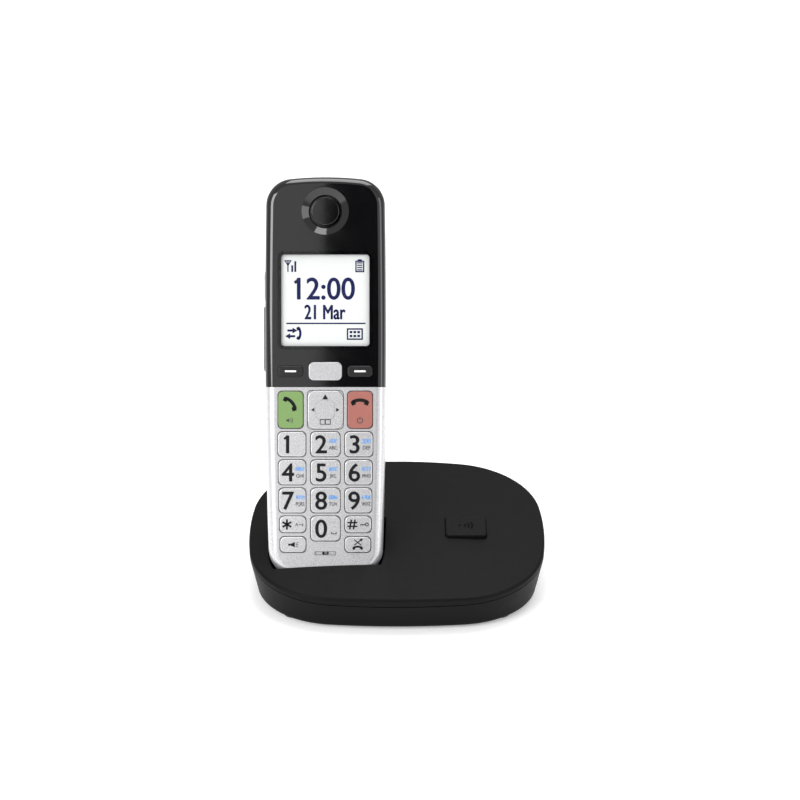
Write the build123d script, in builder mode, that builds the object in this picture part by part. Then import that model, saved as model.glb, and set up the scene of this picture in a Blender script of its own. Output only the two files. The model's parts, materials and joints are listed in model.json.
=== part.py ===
from build123d import *
import os
from math import cos, radians, sin, sqrt

# A cordless telephone standing in its charging base.
# All sizes are in millimetres and all angles in degrees.
# The row frame has +X to the right, +Y to the back and +Z up. Its origin is the middle of the base's
# footprint, on the surface that the rubber feet stand on.

# ---------------------------------------------------------------- driving dimensions: the base
BASE_WIDTH = 128.0
BASE_DEPTH = 104.0
BASE_SLOPE = 9.0  # the top rises to the back
SEAM_HEIGHT = 20.5  # of the seam between the two base covers, at the middle of the base
SIDE_BULGE = 8.2  # how far the rounded sides stand out from their corners
FRONT_BULGE = 6.0
BASE_CORNER = 39.0
FOOT_INSET = 3.6  # the lower cover draws in by this much from the seam to its underside
BASE_WALL = 2.0
BASE_SEAM_GAP = 0.35
CROWN_RADIUS = 850.0
CROWN_HEIGHT = 5.2  # of the crown's highest point above the seam
RIM_RADIUS = 1.3
BOTTOM_EDGE = 2.4

FOOT_RADIUS = 5.0
FOOT_HEIGHT = 1.0  # that stands below the lower cover
FOOT_SUNK = 1.0  # that sits in the lower cover
FOOT_X = 43.0
FOOT_FRONT_Y = -33.5
FOOT_BACK_Y = 33.0
FOOT_PLAY = 0.05
FOOT_EDGE = 0.3

# ---------------------------------------------------------------- driving dimensions: the handset
HANDSET_LENGTH = 170.0
HANDSET_WIDTH = 51.1
HANDSET_TOP_WIDTH = 50.0
HANDSET_FOOT_WIDTH = 47.8
WIDEST_AT = 88.0  # up the handset
HANDSET_TOP_DEPTH = 18.6
HANDSET_DEPTH = 28.0
TOP_RISE = 2.2  # how far the top's arc rises over its corners
FOOT_DROP = 2.5
BACK_TOP = 108.0  # up the handset, where the back starts to swell from its thin top
BACK_RISE = 2.2  # how much deeper it is there than at the top
BACK_FULL = 64.0  # where it reaches its full depth
BACK_BEND = 90.0  # radius of the swell's bends
HEEL = 7.0  # radius of the bend from the back to its slanting foot
TOP_CORNER = 11.5
FOOT_CORNER = 12.5
FRONT_EDGE = 4.0
BACK_EDGE = 6.0
HANDSET_WALL = 1.8
HANDSET_SEAM_DEPTH = 11.0  # of the seam between front and back covers, behind the face
SEAM_GAP = 0.2
COLOUR_LINE = 81.4  # up the handset, where the dark cover meets the bright one
COLOUR_GAP = 0.16
HANDSET_LEAN = 22.0
HANDSET_X = -30.1
HANDSET_FRONT_Y = -31.3  # of the face's foot
HANDSET_FOOT_Z = 14.4
TONGUE_WALL = 0.9
TONGUE_HEIGHT = 1.5
TONGUE_PLAY = 0.08

POCKET_SIDE_PLAY = 0.9  # between the handset and the sides of its pocket
POCKET_PLAY = 0.4  # between the handset and the pocket's front, back and floor
POCKET_WALL = 1.5

# ---------------------------------------------------------------- driving dimensions: the keys
KEY_RISE = 0.7  # above the face
KEY_PLAY = 0.2  # between a key and its hole
KEY_TRAVEL = 0.8
KEY_FLANGE = 0.5  # wider than the key on each side
KEY_FLANGE_THICK = 0.9
KEY_FLANGE_PLAY = 0.1
KEY_CROWN = 0.35
PLUNGER_RADIUS = 1.7
PLUNGER_LENGTH = 1.2
DIGIT_PITCH = 11.85
DIGIT_HEIGHT = 10.3
DIGIT_WIDTH = 12.2
DIGIT_TOP_ROW = 57.3  # up the handset, of the middle of the 1, 2 and 3 keys
DIGIT_INNER_EDGE = 8.3  # of the outer columns, from the middle line
KEYPAD_MARGIN = 5.35  # from the handset's side to the outer edge of its keys
DIGIT_CORNER = 2.1
STAR_HEIGHT = 6.8
STAR_ROW = 23.5
LAST_HEIGHT = 6.5
LAST_ROW = 15.0
CALL_ROW = 71.8
CALL_WIDTH = 10.4
CALL_HEIGHT = 15.5
CALL_X = 14.6
NAVIGATOR_WIDTH = 14.8
NAVIGATOR_HEIGHT = 16.0
NAVIGATOR_TILT = 3.0
NAVIGATOR_PAD = 7.6
NAVIGATOR_GROOVE = 0.25
PIVOT_GAP = 0.05
PIVOT_THICK = 0.8
PIVOT_SIZE = 4.6
PIVOT_POST_RADIUS = 1.6
NAVIGATOR_CORNER = 3.2
NAVIGATOR_FLANGE_PLAY = 0.6
SOFT_ROW = 88.0
SOFT_CORNER = 1.4
SOFT_WIDTH = 10.3
SOFT_HEIGHT = 4.5
MIDDLE_WIDTH = 13.9
MIDDLE_HEIGHT = 7.5

# ---------------------------------------------------------------- driving dimensions: inside the handset
BOARD_DEPTH = 6.7  # of the circuit board's front, behind the face
BOARD_THICK = 1.2
BOARD_WIDTH = 42.0
BOARD_LOW = 9.0
BOARD_HIGH = 144.0
MAT_WEB = 0.8
DOME_RADIUS = 2.6
MAT_MARGIN = 1.0
MAT_WIDTH = 41.0
DOME_PLAY = 0.2
DOME_LAP = 0.15  # how far a dome's ring stands up round its plunger
DOME_FLOOR = 0.3
CHIP_THICK = 1.2

WINDOW_WIDTH = 37.1
WINDOW_HEIGHT = 38.5
WINDOW_MIDDLE = 117.9
WINDOW_CORNER = 1.4
GLASS_LAP = 1.4
GLASS_THICK = 1.0
GLASS_PLAY = 0.05
PANEL_GAP = 0.3
PANEL_THICK = 1.6
BACKLIGHT_THICK = 1.4

EAR_MIDDLE = 155.4
EAR_DISH_RADIUS = 9.95
EAR_THROAT_RADIUS = 6.6
EAR_DISH_DEPTH = 1.9
EAR_CAP_RADIUS = 5.9
EAR_CAP_SUNK = 0.7
EAR_CAP_THICK = 1.3
EAR_FOOT = 0.6
EAR_RING_RADIUS = 11.6
EAR_RING_DEPTH = 3.4
RECEIVER_RADIUS = 8.0
RECEIVER_THICK = 3.6

MIC_ROW = 11.3
MIC_SLOT_WIDTH = 9.6
MIC_SLOT_HEIGHT = 1.7
MIC_SLOT_DEPTH = 0.5
MIC_HOLE_WIDTH = 2.9
MIC_HOLE_HEIGHT = 1.3
MIC_RADIUS = 3.0
MIC_THICK = 2.2

SPEAKER_MIDDLE = 122.0
SPEAKER_RADIUS = 10.0
SPEAKER_THICK = 4.6
SPEAKER_GAP = 1.2
SPEAKER_NECK = 4.0
SPEAKER_SLOTS = 7
SPEAKER_SLOT_PITCH = 2.2
SPEAKER_SLOT_WIDTH = 1.1

CELL_RADIUS = 5.2
CELL_LENGTH = 44.0
CELL_TIP_RADIUS = 1.9
CELL_TIP = 0.9
CELL_EDGE = 0.5
TERMINAL_THICK = 0.4
SPRING_RADIUS = 3.4
SPRING_STEP = 0.5
SPRING_TURNS = 3
CELL_GAP = 0.8
BAY_SIDE_PLAY = 0.6
BAY_END_PLAY = 2.2  # at each end, for the contacts
BAY_LOW = 41.0
CELL_COVER_GAP = 0.5  # between the cells and the door
BAY_WALL = 1.3
DOOR_LAP = 2.6  # past the bay on each side, where the door sits on its ledge
DOOR_PLAY = 0.2
DOOR_CORNER = 4.0
DOOR_SEAT = 0.05  # between the door and its ledge
LEDGE_THICK = 1.2
SCREW_SEAT = 4.4  # of a screw's head, behind the seam between the covers

SIDE_KEY_DEPTH = 7.0  # of its middle, behind the face
SIDE_KEY_WIDTH = 4.2
SIDE_KEY_RISE = 0.55
ROCKER_MIDDLE = 101.7
ROCKER_LENGTH = 27.6
ROCKER_TILT = 1.5
JACK_COVER_MIDDLE = 124.0
JACK_COVER_LENGTH = 12.4
JACK_COVER_THICK = 1.2
JACK_COVER_RISE = 0.35
JACK_BODY_GAP = 0.2
JACK_BODY_LENGTH = 10.0
JACK_BODY_WIDTH = 7.0
JACK_BODY_HEIGHT = 3.8
JACK_NOTCH_PLAY = 0.4
SIDE_PLAY = 0.2
JACK_RADIUS = 1.25

HANDSET_SCREW_X = 17.3
HANDSET_SCREW_ROW = 148.5
SCREW_RADIUS = 1.1
SCREW_HEAD_RADIUS = 2.1
SCREW_HEAD = 1.4
SCREW_PLAY = 0.15
BOSS_RADIUS = 2.9

PLATE_X = 13.0
PLATE_WIDTH = 5.0
PLATE_LENGTH = 8.0
PLATE_THICK = 0.5
PLATE_CORNER = 0.8
PLATE_UP_SLOPE = -0.4  # of the plates' middle along the slanting foot of the back

# ---------------------------------------------------------------- driving dimensions: inside the base
LOCATOR_X = 29.8
LOCATOR_Y = -2.5
LOCATOR_WIDTH = 17.6
LOCATOR_DEPTH = 14.6
LOCATOR_RISE = 1.5
LOCATOR_CORNER = 1.6
LOCATOR_PLAY = 0.25
LOCATOR_FLANGE = 1.2
LOCATOR_FLANGE_THICK = 1.2
LOCATOR_SAG = 1.1  # how far the crown's underside falls at the button's corner, with its play
LOCATOR_EDGE = 0.7
LOCATOR_STEM = 9.0
LOCATOR_STEM_GAP = 0.2
SWITCH_TIP_RADIUS = 1.7
LOCATOR_TRAVEL = 0.9
LOCATOR_STEM_RADIUS = 2.4
SWITCH_SIZE = 6.2
SWITCH_BODY = 3.4

BASE_BOARD_Z = 5.6
BASE_BOARD_LOW_X = 2.0
BASE_BOARD_HIGH_X = 41.0
BASE_BOARD_LOW_Y = -26.0
BASE_BOARD_HIGH_Y = 43.0
BASE_BOARD_CORNER = 10.0

LINE_JACK_X = 10.0
LINE_JACK_WIDTH = 13.4
LINE_JACK_HEIGHT = 11.2
LINE_JACK_LENGTH = 13.0
LINE_SOCKET_WIDTH = 9.9
LINE_SOCKET_HEIGHT = 6.9
LINE_SOCKET_LENGTH = 11.4
LINE_WIRES = 4
LINE_WIRE_PITCH = 1.02
POWER_JACK_X = 24.5
POWER_JACK_WIDTH = 9.0
POWER_JACK_HEIGHT = 9.6
POWER_JACK_LENGTH = 12.0
POWER_BORE_RADIUS = 2.9
POWER_PIN_RADIUS = 0.85
POWER_BORE_DEPTH = 9.0
JACK_FACE_Y = 47.8
JACK_STAND = 0.6
JACK_PLAY = 0.25
LINE_LATCH_WIDTH = 3.4
LINE_LATCH_DEPTH = 2.6
LINE_WIRE = 0.45
LINE_WIRE_DROP = 2.2

CONTACT_WIDTH = 3.2
CONTACT_THICK = 1.6
CONTACT_LENGTH = 4.4
CONTACT_TRAVEL = 1.0
CONTACT_FLANGE = 0.7
CONTACT_FLANGE_THICK = 0.6
CONTACT_PLAY = 0.2
HOLDER_DEPTH = 4.0
HOLDER_LENGTH = 6.6
HOLDER_WIDTH = 5.2
HOLDER_END_WALL = 0.8
HOLDER_BRIDGE = 2.0
PLATE_STAND_OFF = 0.3  # from a plate to its contact
CONTACT_FLOAT = 0.1

BASE_SCREWS = [(-46.0, 30.0), (46.0, 29.0), (53.0, -12.0), (6.0, -40.0)]
BASE_BOSS_RADIUS = 3.4
BASE_BOSS_TOP = 9.0
BASE_SCREW_SEAT = 4.0
BASE_SCREW_BITE = 6.0
BASE_TONGUE = 1.6
STANDOFFS = [(7.0, -20.0), (36.0, -13.0), (18.0, 34.0), (36.0, 26.0)]
STANDOFF_RADIUS = 2.0
BASE_CHIPS = [(16.0, 6.0, 16.0, 16.0, 1.2), (35.0, 14.0, 7.0, 8.0, 1.4), (20.0, 26.0, 10.0, 8.0, 6.0)]
ANTENNA_X = 5.0
ANTENNA_Y = 14.0

ANTENNA_LENGTH = 26.0
ANTENNA_HEIGHT = 7.0
ANTENNA_THICK = 0.4

# ---------------------------------------------------------------- planes
# The handset's own plane: x across it, y up it and z out of its face.
face = Plane(
    origin=(HANDSET_X, HANDSET_FRONT_Y, HANDSET_FOOT_Z),
    x_dir=(1, 0, 0),
    z_dir=(0, -cos(radians(HANDSET_LEAN)), sin(radians(HANDSET_LEAN))),
)
# Its side view: x up the handset and y out of its face.
side = Plane(origin=face.origin, x_dir=face.y_dir, z_dir=face.x_dir)
# The seam between the base's covers: x across, y up its slope.
seam = Plane(
    origin=(0, 0, SEAM_HEIGHT),
    x_dir=(1, 0, 0),
    z_dir=(0, -sin(radians(BASE_SLOPE)), cos(radians(BASE_SLOPE))),
)
# The slanting foot of the handset's back, in the side view, where it meets the charging contacts.
SLANT_LOW = (-13.5, 0.0)
SLANT_HIGH = (11.0, -HANDSET_DEPTH)
slant_run = (SLANT_HIGH[0] - SLANT_LOW[0], SLANT_HIGH[1] - SLANT_LOW[1])
slant_length = sqrt(slant_run[0] ** 2 + slant_run[1] ** 2)
slant_middle = (4.3, SLANT_LOW[1] + slant_run[1] * (4.3 - SLANT_LOW[0]) / slant_run[0])
slant_up = face.y_dir * (slant_run[0] / slant_length) + face.z_dir * (slant_run[1] / slant_length)
slant = Plane(
    origin=face.from_local_coords(Vector(0, slant_middle[0], slant_middle[1])),
    x_dir=(-1, 0, 0),
    z_dir=slant_up.cross(Vector(-1, 0, 0)) * -1,
)

parts = {}


def keep(name, part):
    """Labels a finished piece and keeps it for export."""
    part.label = name
    parts[name] = part


def at(plane, x, y):
    """The same plane with its origin moved across itself."""
    return Plane(
        origin=plane.from_local_coords(Vector(x, y, 0)), x_dir=plane.x_dir, z_dir=plane.z_dir
    )


# ---------------------------------------------------------------- outlines that several pieces share
def side_at(height):
    """Half the handset's width at a height, along the arc of its side."""
    chord = HANDSET_FOOT_WIDTH + (HANDSET_TOP_WIDTH - HANDSET_FOOT_WIDTH) * height / HANDSET_LENGTH
    chord_widest = (
        HANDSET_FOOT_WIDTH + (HANDSET_TOP_WIDTH - HANDSET_FOOT_WIDTH) * WIDEST_AT / HANDSET_LENGTH
    )
    away = 2 * height / HANDSET_LENGTH - 1
    return (chord + (HANDSET_WIDTH - chord_widest) * (1 - away**2)) / 2


def circle_through(a, b, c):
    """The middle and the radius of the circle through three points."""
    cross = 2 * (a[0] * (b[1] - c[1]) + b[0] * (c[1] - a[1]) + c[0] * (a[1] - b[1]))
    squares = [point[0] ** 2 + point[1] ** 2 for point in (a, b, c)]
    x = (squares[0] * (b[1] - c[1]) + squares[1] * (c[1] - a[1]) + squares[2] * (a[1] - b[1])) / cross
    y = (squares[0] * (c[0] - b[0]) + squares[1] * (a[0] - c[0]) + squares[2] * (b[0] - a[0])) / cross
    return x, y, sqrt((x - a[0]) ** 2 + (y - a[1]) ** 2)


def circles_meet(one, two, near):
    """The crossing of two circles that lies nearest a point."""
    run = Vector(two[0] - one[0], two[1] - one[1])
    along = (one[2] ** 2 - two[2] ** 2 + run.length**2) / (2 * run.length)
    across = sqrt(one[2] ** 2 - along**2)
    foot = Vector(one[0], one[1]) + run.normalized() * along
    aside = Vector(-run.Y, run.X).normalized() * across
    return min((foot + aside, foot - aside), key=lambda point: (point - Vector(*near)).length)


def draw_arcs(points, inset):
    """Draws a closed outline of arcs, each given by its first corner and its middle, drawn in by an inset."""
    circles = []
    for index, (corner, middle) in enumerate(points):
        x, y, radius = circle_through(corner, middle, points[(index + 1) % len(points)][0])
        circles.append((x, y, radius - inset))
    corners = [
        circles_meet(circles[index - 1], circles[index], corner) for index, (corner, _) in enumerate(points)
    ]
    for index, (_, middle) in enumerate(points):
        x, y, radius = circles[index]
        top = Vector(x, y) + Vector(middle[0] - x, middle[1] - y).normalized() * radius
        ThreePointArc(corners[index], top, corners[(index + 1) % len(points)])


def drawn_in(points, inset):
    """The corners of a closed polygon that runs clockwise, each of its sides moved in by an inset."""
    result = []
    for index, point in enumerate(points):
        before, after = points[index - 1], points[(index + 1) % len(points)]
        into = Vector(point[0] - before[0], point[1] - before[1]).normalized()
        out = Vector(after[0] - point[0], after[1] - point[1]).normalized()
        # The corner moves along the two sides' mean normal, further where the turn is sharper.
        normal_in, normal_out = Vector(into.Y, -into.X), Vector(out.Y, -out.X)
        mean = normal_in + normal_out
        result.append(Vector(*point) + mean * (inset / (1 + normal_in.dot(normal_out))))
    return result


def handset_form(inset, side_inset=None, rounded=True):
    """The handset's outside, drawn in by an inset. A negative inset gives the hollow it stands in."""
    side_inset = inset if side_inset is None else side_inset
    foot, top, widest = HANDSET_FOOT_WIDTH / 2, HANDSET_TOP_WIDTH / 2, HANDSET_WIDTH / 2
    shoulder = HANDSET_LENGTH - TOP_RISE
    room = 6.0
    outline_arcs = [
        ((foot, FOOT_DROP), (widest, WIDEST_AT)),
        ((top, shoulder), (0, HANDSET_LENGTH)),
        ((-top, shoulder), (-widest, WIDEST_AT)),
        ((-foot, FOOT_DROP), (0, 0)),
    ]
    profile_points = drawn_in(
        [
            SLANT_LOW,
            (HANDSET_LENGTH + room, 0),
            (HANDSET_LENGTH + room, -HANDSET_TOP_DEPTH),
            (BACK_TOP, -HANDSET_TOP_DEPTH - BACK_RISE),
            (BACK_FULL, -HANDSET_DEPTH),
            SLANT_HIGH,
        ],
        inset,
    )
    # The bends at the swell's top, at its full depth and at the heel, by their place in the profile.
    bends = {3: BACK_BEND + inset, 4: BACK_BEND - inset, 5: HEEL - inset}
    with BuildPart() as form:
        with BuildSketch(face.offset(room)) as outline:
            with BuildLine():
                draw_arcs(outline_arcs, side_inset)
            make_face()
            fillet(outline.vertices().sort_by(Axis.Y)[-2:], TOP_CORNER - side_inset)
            fillet(outline.vertices().sort_by(Axis.Y)[:2], FOOT_CORNER - side_inset)
        extrude(amount=-(HANDSET_DEPTH + 2 * room))
        with BuildSketch(side) as profile:
            with BuildLine():
                Polyline(profile_points, close=True)
            make_face()
            for index, radius in bends.items():
                fillet(profile.vertices().sort_by_distance(profile_points[index])[0], radius)
        extrude(amount=HANDSET_WIDTH, both=True, mode=Mode.INTERSECT)
        if rounded:
            front = form.faces().sort_by(Axis(face.origin, face.z_dir))[-1]
            fillet(front.edges(), FRONT_EDGE - inset)
            back = (
                form.edges()
                .filter_by(Axis(face.origin, face.x_dir), reverse=True)
                .filter_by(Axis(face.origin, face.z_dir), reverse=True)
                .filter_by(lambda edge: face.to_local_coords(edge.center()).Z < -FRONT_EDGE - 1)
            )
            fillet(back, BACK_EDGE - inset)
    return form.part


def slab(low, high, bottom=-20.0, top=HANDSET_LENGTH + 20.0):
    """A block across the whole handset, between two depths and two heights."""
    with BuildPart() as block:
        with BuildSketch(face.offset(low)):
            with Locations((0, (bottom + top) / 2)):
                Rectangle(HANDSET_WIDTH + 20, top - bottom)
        extrude(amount=high - low)
    return block.part


def base_outline(inset, plane):
    """The base's rounded outline, drawn in by an inset, on a plane."""
    half_x, half_y = BASE_WIDTH / 2, BASE_DEPTH / 2
    corner_x, corner_y = half_x - SIDE_BULGE, half_y - FRONT_BULGE
    arcs = [
        ((-corner_x, -corner_y), (0, -half_y)),
        ((corner_x, -corner_y), (half_x, 0)),
        ((corner_x, corner_y), (0, half_y)),
        ((-corner_x, corner_y), (-half_x, 0)),
    ]
    with BuildSketch(plane) as outline:
        with BuildLine():
            draw_arcs(arcs, inset)
        make_face()
        fillet(outline.vertices(), BASE_CORNER - inset)
    return outline.sketch


def crown_form(inset, bottom):
    """The space under the base's crowned top, from a level on the seam plane."""
    with BuildPart() as form:
        extrude(base_outline(inset, seam.offset(bottom)), amount=2 * CROWN_HEIGHT - bottom)
        with Locations(seam.offset(CROWN_HEIGHT - CROWN_RADIUS)):
            Sphere(CROWN_RADIUS - inset, mode=Mode.INTERSECT)
    return form.part


def lower_form(inset, floor):
    """The lower cover's tapering form, from a floor up to the seam plane."""
    with BuildPart() as form:
        loft([base_outline(FOOT_INSET + inset, Plane.XY.offset(floor)), base_outline(inset, seam)])
    return form.part


outer = handset_form(0)
inner = handset_form(HANDSET_WALL)
lap = handset_form(HANDSET_WALL - TONGUE_WALL)
tongue = handset_form(HANDSET_WALL - TONGUE_WALL + TONGUE_PLAY)
seam_depth = -HANDSET_SEAM_DEPTH

# ---------------------------------------------------------------- handset: the keys' places
# Each key has a name, the middle of its outline and its size, all on the face.
keys = []


def add_key(name, low_x, high_x, row, height, corner):
    """Notes one key from the two sides of its outline, its row and its height."""
    keys.append((name, (low_x + high_x) / 2, row, high_x - low_x, height, corner))


rows = [DIGIT_TOP_ROW - index * DIGIT_PITCH for index in range(3)]
for index in range(9):
    row, column = rows[index // 3], index % 3
    edge = side_at(row) - KEYPAD_MARGIN
    low_x = (-edge, -DIGIT_WIDTH / 2, DIGIT_INNER_EDGE)[column]
    high_x = (-DIGIT_INNER_EDGE, DIGIT_WIDTH / 2, edge)[column]
    add_key(f"key_{index + 1}", low_x, high_x, row, DIGIT_HEIGHT, DIGIT_CORNER)
star_edge = side_at(STAR_ROW) - KEYPAD_MARGIN
zero_row = rows[2] - DIGIT_PITCH
last_edge = side_at(LAST_ROW) - KEYPAD_MARGIN
add_key("key_star", -star_edge, -DIGIT_INNER_EDGE, STAR_ROW, STAR_HEIGHT, DIGIT_CORNER)
add_key("key_0", -DIGIT_WIDTH / 2, DIGIT_WIDTH / 2, zero_row, DIGIT_HEIGHT, DIGIT_CORNER)
add_key("key_hash", DIGIT_INNER_EDGE, star_edge, STAR_ROW, STAR_HEIGHT, DIGIT_CORNER)
add_key("key_ringer", -last_edge, -DIGIT_INNER_EDGE, LAST_ROW, LAST_HEIGHT, DIGIT_CORNER)
add_key("key_redial", DIGIT_INNER_EDGE, last_edge, LAST_ROW, LAST_HEIGHT, DIGIT_CORNER)
call_low, call_high = CALL_X - CALL_WIDTH / 2, CALL_X + CALL_WIDTH / 2
add_key("key_talk", -call_high, -call_low, CALL_ROW, CALL_HEIGHT, DIGIT_CORNER)
add_key("key_end", call_low, call_high, CALL_ROW, CALL_HEIGHT, DIGIT_CORNER)
soft_low, soft_high = CALL_X - SOFT_WIDTH / 2, CALL_X + SOFT_WIDTH / 2
add_key("soft_key_left", -soft_high, -soft_low, SOFT_ROW, SOFT_HEIGHT, SOFT_CORNER)
add_key("soft_key_middle", -MIDDLE_WIDTH / 2, MIDDLE_WIDTH / 2, SOFT_ROW, MIDDLE_HEIGHT, DIGIT_CORNER)
add_key("soft_key_right", soft_low, soft_high, SOFT_ROW, SOFT_HEIGHT, SOFT_CORNER)
navigator_key = (
    "key_navigator", 0.0, CALL_ROW, NAVIGATOR_WIDTH, NAVIGATOR_HEIGHT, NAVIGATOR_CORNER
)  # fmt: skip

flange_top = -HANDSET_WALL - KEY_FLANGE_PLAY
flange_bottom = flange_top - KEY_FLANGE_THICK
plunger_bottom = flange_bottom - PLUNGER_LENGTH
board_front = -BOARD_DEPTH
board_back = board_front - BOARD_THICK

# ---------------------------------------------------------------- handset: front covers
# The inner half of their rim is cut back for the rear cover's tongue.
with BuildPart() as rebate:
    add(lap)
    add(slab(seam_depth - 1, seam_depth + TONGUE_HEIGHT + SEAM_GAP), mode=Mode.INTERSECT)

for name, low, high in (
    ("handset_front_lower", -20.0, COLOUR_LINE - COLOUR_GAP / 2),
    ("handset_front_upper", COLOUR_LINE + COLOUR_GAP / 2, HANDSET_LENGTH + 20.0),
):
    with BuildPart() as cover:
        add(outer)
        add(slab(seam_depth, 5.0, low, high), mode=Mode.INTERSECT)
        add(inner, mode=Mode.SUBTRACT)
        add(rebate.part, mode=Mode.SUBTRACT)
        # Every key comes through a hole of its own shape.
        for key, x, y, width, height, corner in keys + [navigator_key]:
            if low < y < high:
                with BuildSketch(face.offset(1.0)):
                    with Locations((x, y)):
                        RectangleRounded(width + 2 * KEY_PLAY, height + 2 * KEY_PLAY, corner + KEY_PLAY)
                extrude(amount=-(HANDSET_WALL + 2.0), mode=Mode.SUBTRACT)
        # The holes in the left flank, for the rocker and for the jack under its cover.
        for middle, length in ((ROCKER_MIDDLE, ROCKER_LENGTH), (JACK_COVER_MIDDLE, JACK_COVER_LENGTH)):
            if low < middle < high:
                flank = Plane(
                    origin=face.from_local_coords(Vector(-side_at(middle) - 1, middle, -SIDE_KEY_DEPTH)),
                    x_dir=face.y_dir,
                    z_dir=-face.x_dir,
                )
                with BuildSketch(flank):
                    SlotOverall(length + 2 * SIDE_PLAY, SIDE_KEY_WIDTH + 2 * SIDE_PLAY)
                if middle == ROCKER_MIDDLE:
                    extrude(amount=-HANDSET_WALL - 2, mode=Mode.SUBTRACT)
                else:
                    extrude(amount=-JACK_COVER_THICK - 1 - SIDE_PLAY, mode=Mode.SUBTRACT)
        if name == "handset_front_upper":
            # The window's seat: the glass lies in from the front and leaves a ledge behind it.
            with BuildSketch(face.offset(1.0)):
                with Locations((0, WINDOW_MIDDLE)):
                    RectangleRounded(
                        WINDOW_WIDTH + 2 * GLASS_LAP, WINDOW_HEIGHT + 2 * GLASS_LAP, WINDOW_CORNER + GLASS_LAP
                    )
            extrude(amount=-(1.0 + GLASS_THICK), mode=Mode.SUBTRACT)
            with BuildSketch(face):
                with Locations((0, WINDOW_MIDDLE)):
                    RectangleRounded(WINDOW_WIDTH, WINDOW_HEIGHT, WINDOW_CORNER)
            extrude(amount=-HANDSET_WALL - 1, mode=Mode.SUBTRACT)
            # The earpiece's dish and its throat, in a ring behind the panel.
            with BuildSketch(at(face, 0, EAR_MIDDLE).offset(-EAR_RING_DEPTH)):
                Circle(EAR_RING_RADIUS)
            extrude(amount=EAR_RING_DEPTH - HANDSET_WALL / 2)
            ear_side = Plane(
                origin=face.from_local_coords(Vector(0, EAR_MIDDLE, 0)), x_dir=face.x_dir, z_dir=-face.y_dir
            )
            with BuildSketch(ear_side):
                with BuildLine():
                    Polyline(
                        (0, 0.5),
                        (EAR_DISH_RADIUS, 0.5),
                        (EAR_DISH_RADIUS, 0),
                        (EAR_THROAT_RADIUS, -EAR_DISH_DEPTH),
                        (EAR_THROAT_RADIUS, -EAR_RING_DEPTH - 1),
                        (0, -EAR_RING_DEPTH - 1),
                        close=True,
                    )
                make_face()
            revolve(axis=Axis(face.from_local_coords(Vector(0, EAR_MIDDLE, 0)), face.z_dir), mode=Mode.SUBTRACT)
            # Two bosses take the screws from the rear cover.
            with BuildSketch(at(face, 0, HANDSET_SCREW_ROW).offset(seam_depth)):
                with Locations((-HANDSET_SCREW_X, 0), (HANDSET_SCREW_X, 0)):
                    Circle(BOSS_RADIUS)
            extrude(amount=HANDSET_SEAM_DEPTH - HANDSET_WALL / 2)
            with BuildSketch(at(face, 0, HANDSET_SCREW_ROW).offset(seam_depth)):
                with Locations((-HANDSET_SCREW_X, 0), (HANDSET_SCREW_X, 0)):
                    Circle(SCREW_RADIUS)
            extrude(amount=HANDSET_SEAM_DEPTH - HANDSET_WALL - 1, mode=Mode.SUBTRACT)
            # A bore for the headset's plug runs in behind the jack's cover.
            flank = Plane(
                origin=face.from_local_coords(
                    Vector(-side_at(JACK_COVER_MIDDLE) - 1, JACK_COVER_MIDDLE, -SIDE_KEY_DEPTH)
                ),
                x_dir=face.y_dir,
                z_dir=-face.x_dir,
            )
            with BuildSketch(flank):
                Circle(JACK_RADIUS)
            extrude(amount=-HANDSET_WALL - 4, mode=Mode.SUBTRACT)
        else:
            # The microphone's shallow slot and its hole.
            with BuildSketch(at(face, 0, MIC_ROW).offset(-MIC_SLOT_DEPTH)):
                SlotOverall(MIC_SLOT_WIDTH, MIC_SLOT_HEIGHT)
            extrude(amount=2.0, mode=Mode.SUBTRACT)
            with BuildSketch(at(face, 0, MIC_ROW)):
                SlotOverall(MIC_HOLE_WIDTH, MIC_HOLE_HEIGHT)
            extrude(amount=-HANDSET_WALL - 1, mode=Mode.SUBTRACT)
    keep(name, cover.part)

# ---------------------------------------------------------------- handset: rear cover and battery door
def block(x, y, low, high, width, height, corner=0.0, mode=Mode.ADD):
    """A block on the face's axes, between two depths, made in the part that is open."""
    with BuildSketch(at(face, x, y).offset(low)) as outline:
        if corner:
            RectangleRounded(width, height, corner)
        else:
            Rectangle(width, height)
    return extrude(outline.sketch, amount=high - low, mode=mode)


bay_height = CELL_LENGTH + CELL_TIP + 2 * BAY_END_PLAY
bay_high = BAY_LOW + bay_height
bay_middle = BAY_LOW + bay_height / 2
bay_width = 4 * CELL_RADIUS + CELL_GAP + 2 * BAY_SIDE_PLAY
swell = (HANDSET_DEPTH - HANDSET_TOP_DEPTH - BACK_RISE) / (BACK_TOP - BACK_FULL)
back_at_bay_top = -HANDSET_DEPTH + swell * (bay_high - BACK_FULL)
cell_depth = back_at_bay_top + HANDSET_WALL + CELL_COVER_GAP + CELL_RADIUS
bay_floor = cell_depth + CELL_RADIUS + DOOR_SEAT
door_width = bay_width + 2 * DOOR_LAP
door_height = bay_height + 2 * DOOR_LAP
behind = -HANDSET_DEPTH - 5
seat = handset_form(HANDSET_WALL + DOOR_SEAT)
screw_places = [(-HANDSET_SCREW_X, 0), (HANDSET_SCREW_X, 0)]
screw_plane = at(face, 0, HANDSET_SCREW_ROW)
screw_seat = seam_depth - SCREW_SEAT

with BuildPart() as lip:
    add(tongue)
    add(inner, mode=Mode.SUBTRACT)
    add(slab(seam_depth - SEAM_GAP - 0.5, seam_depth + TONGUE_HEIGHT), mode=Mode.INTERSECT)

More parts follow.
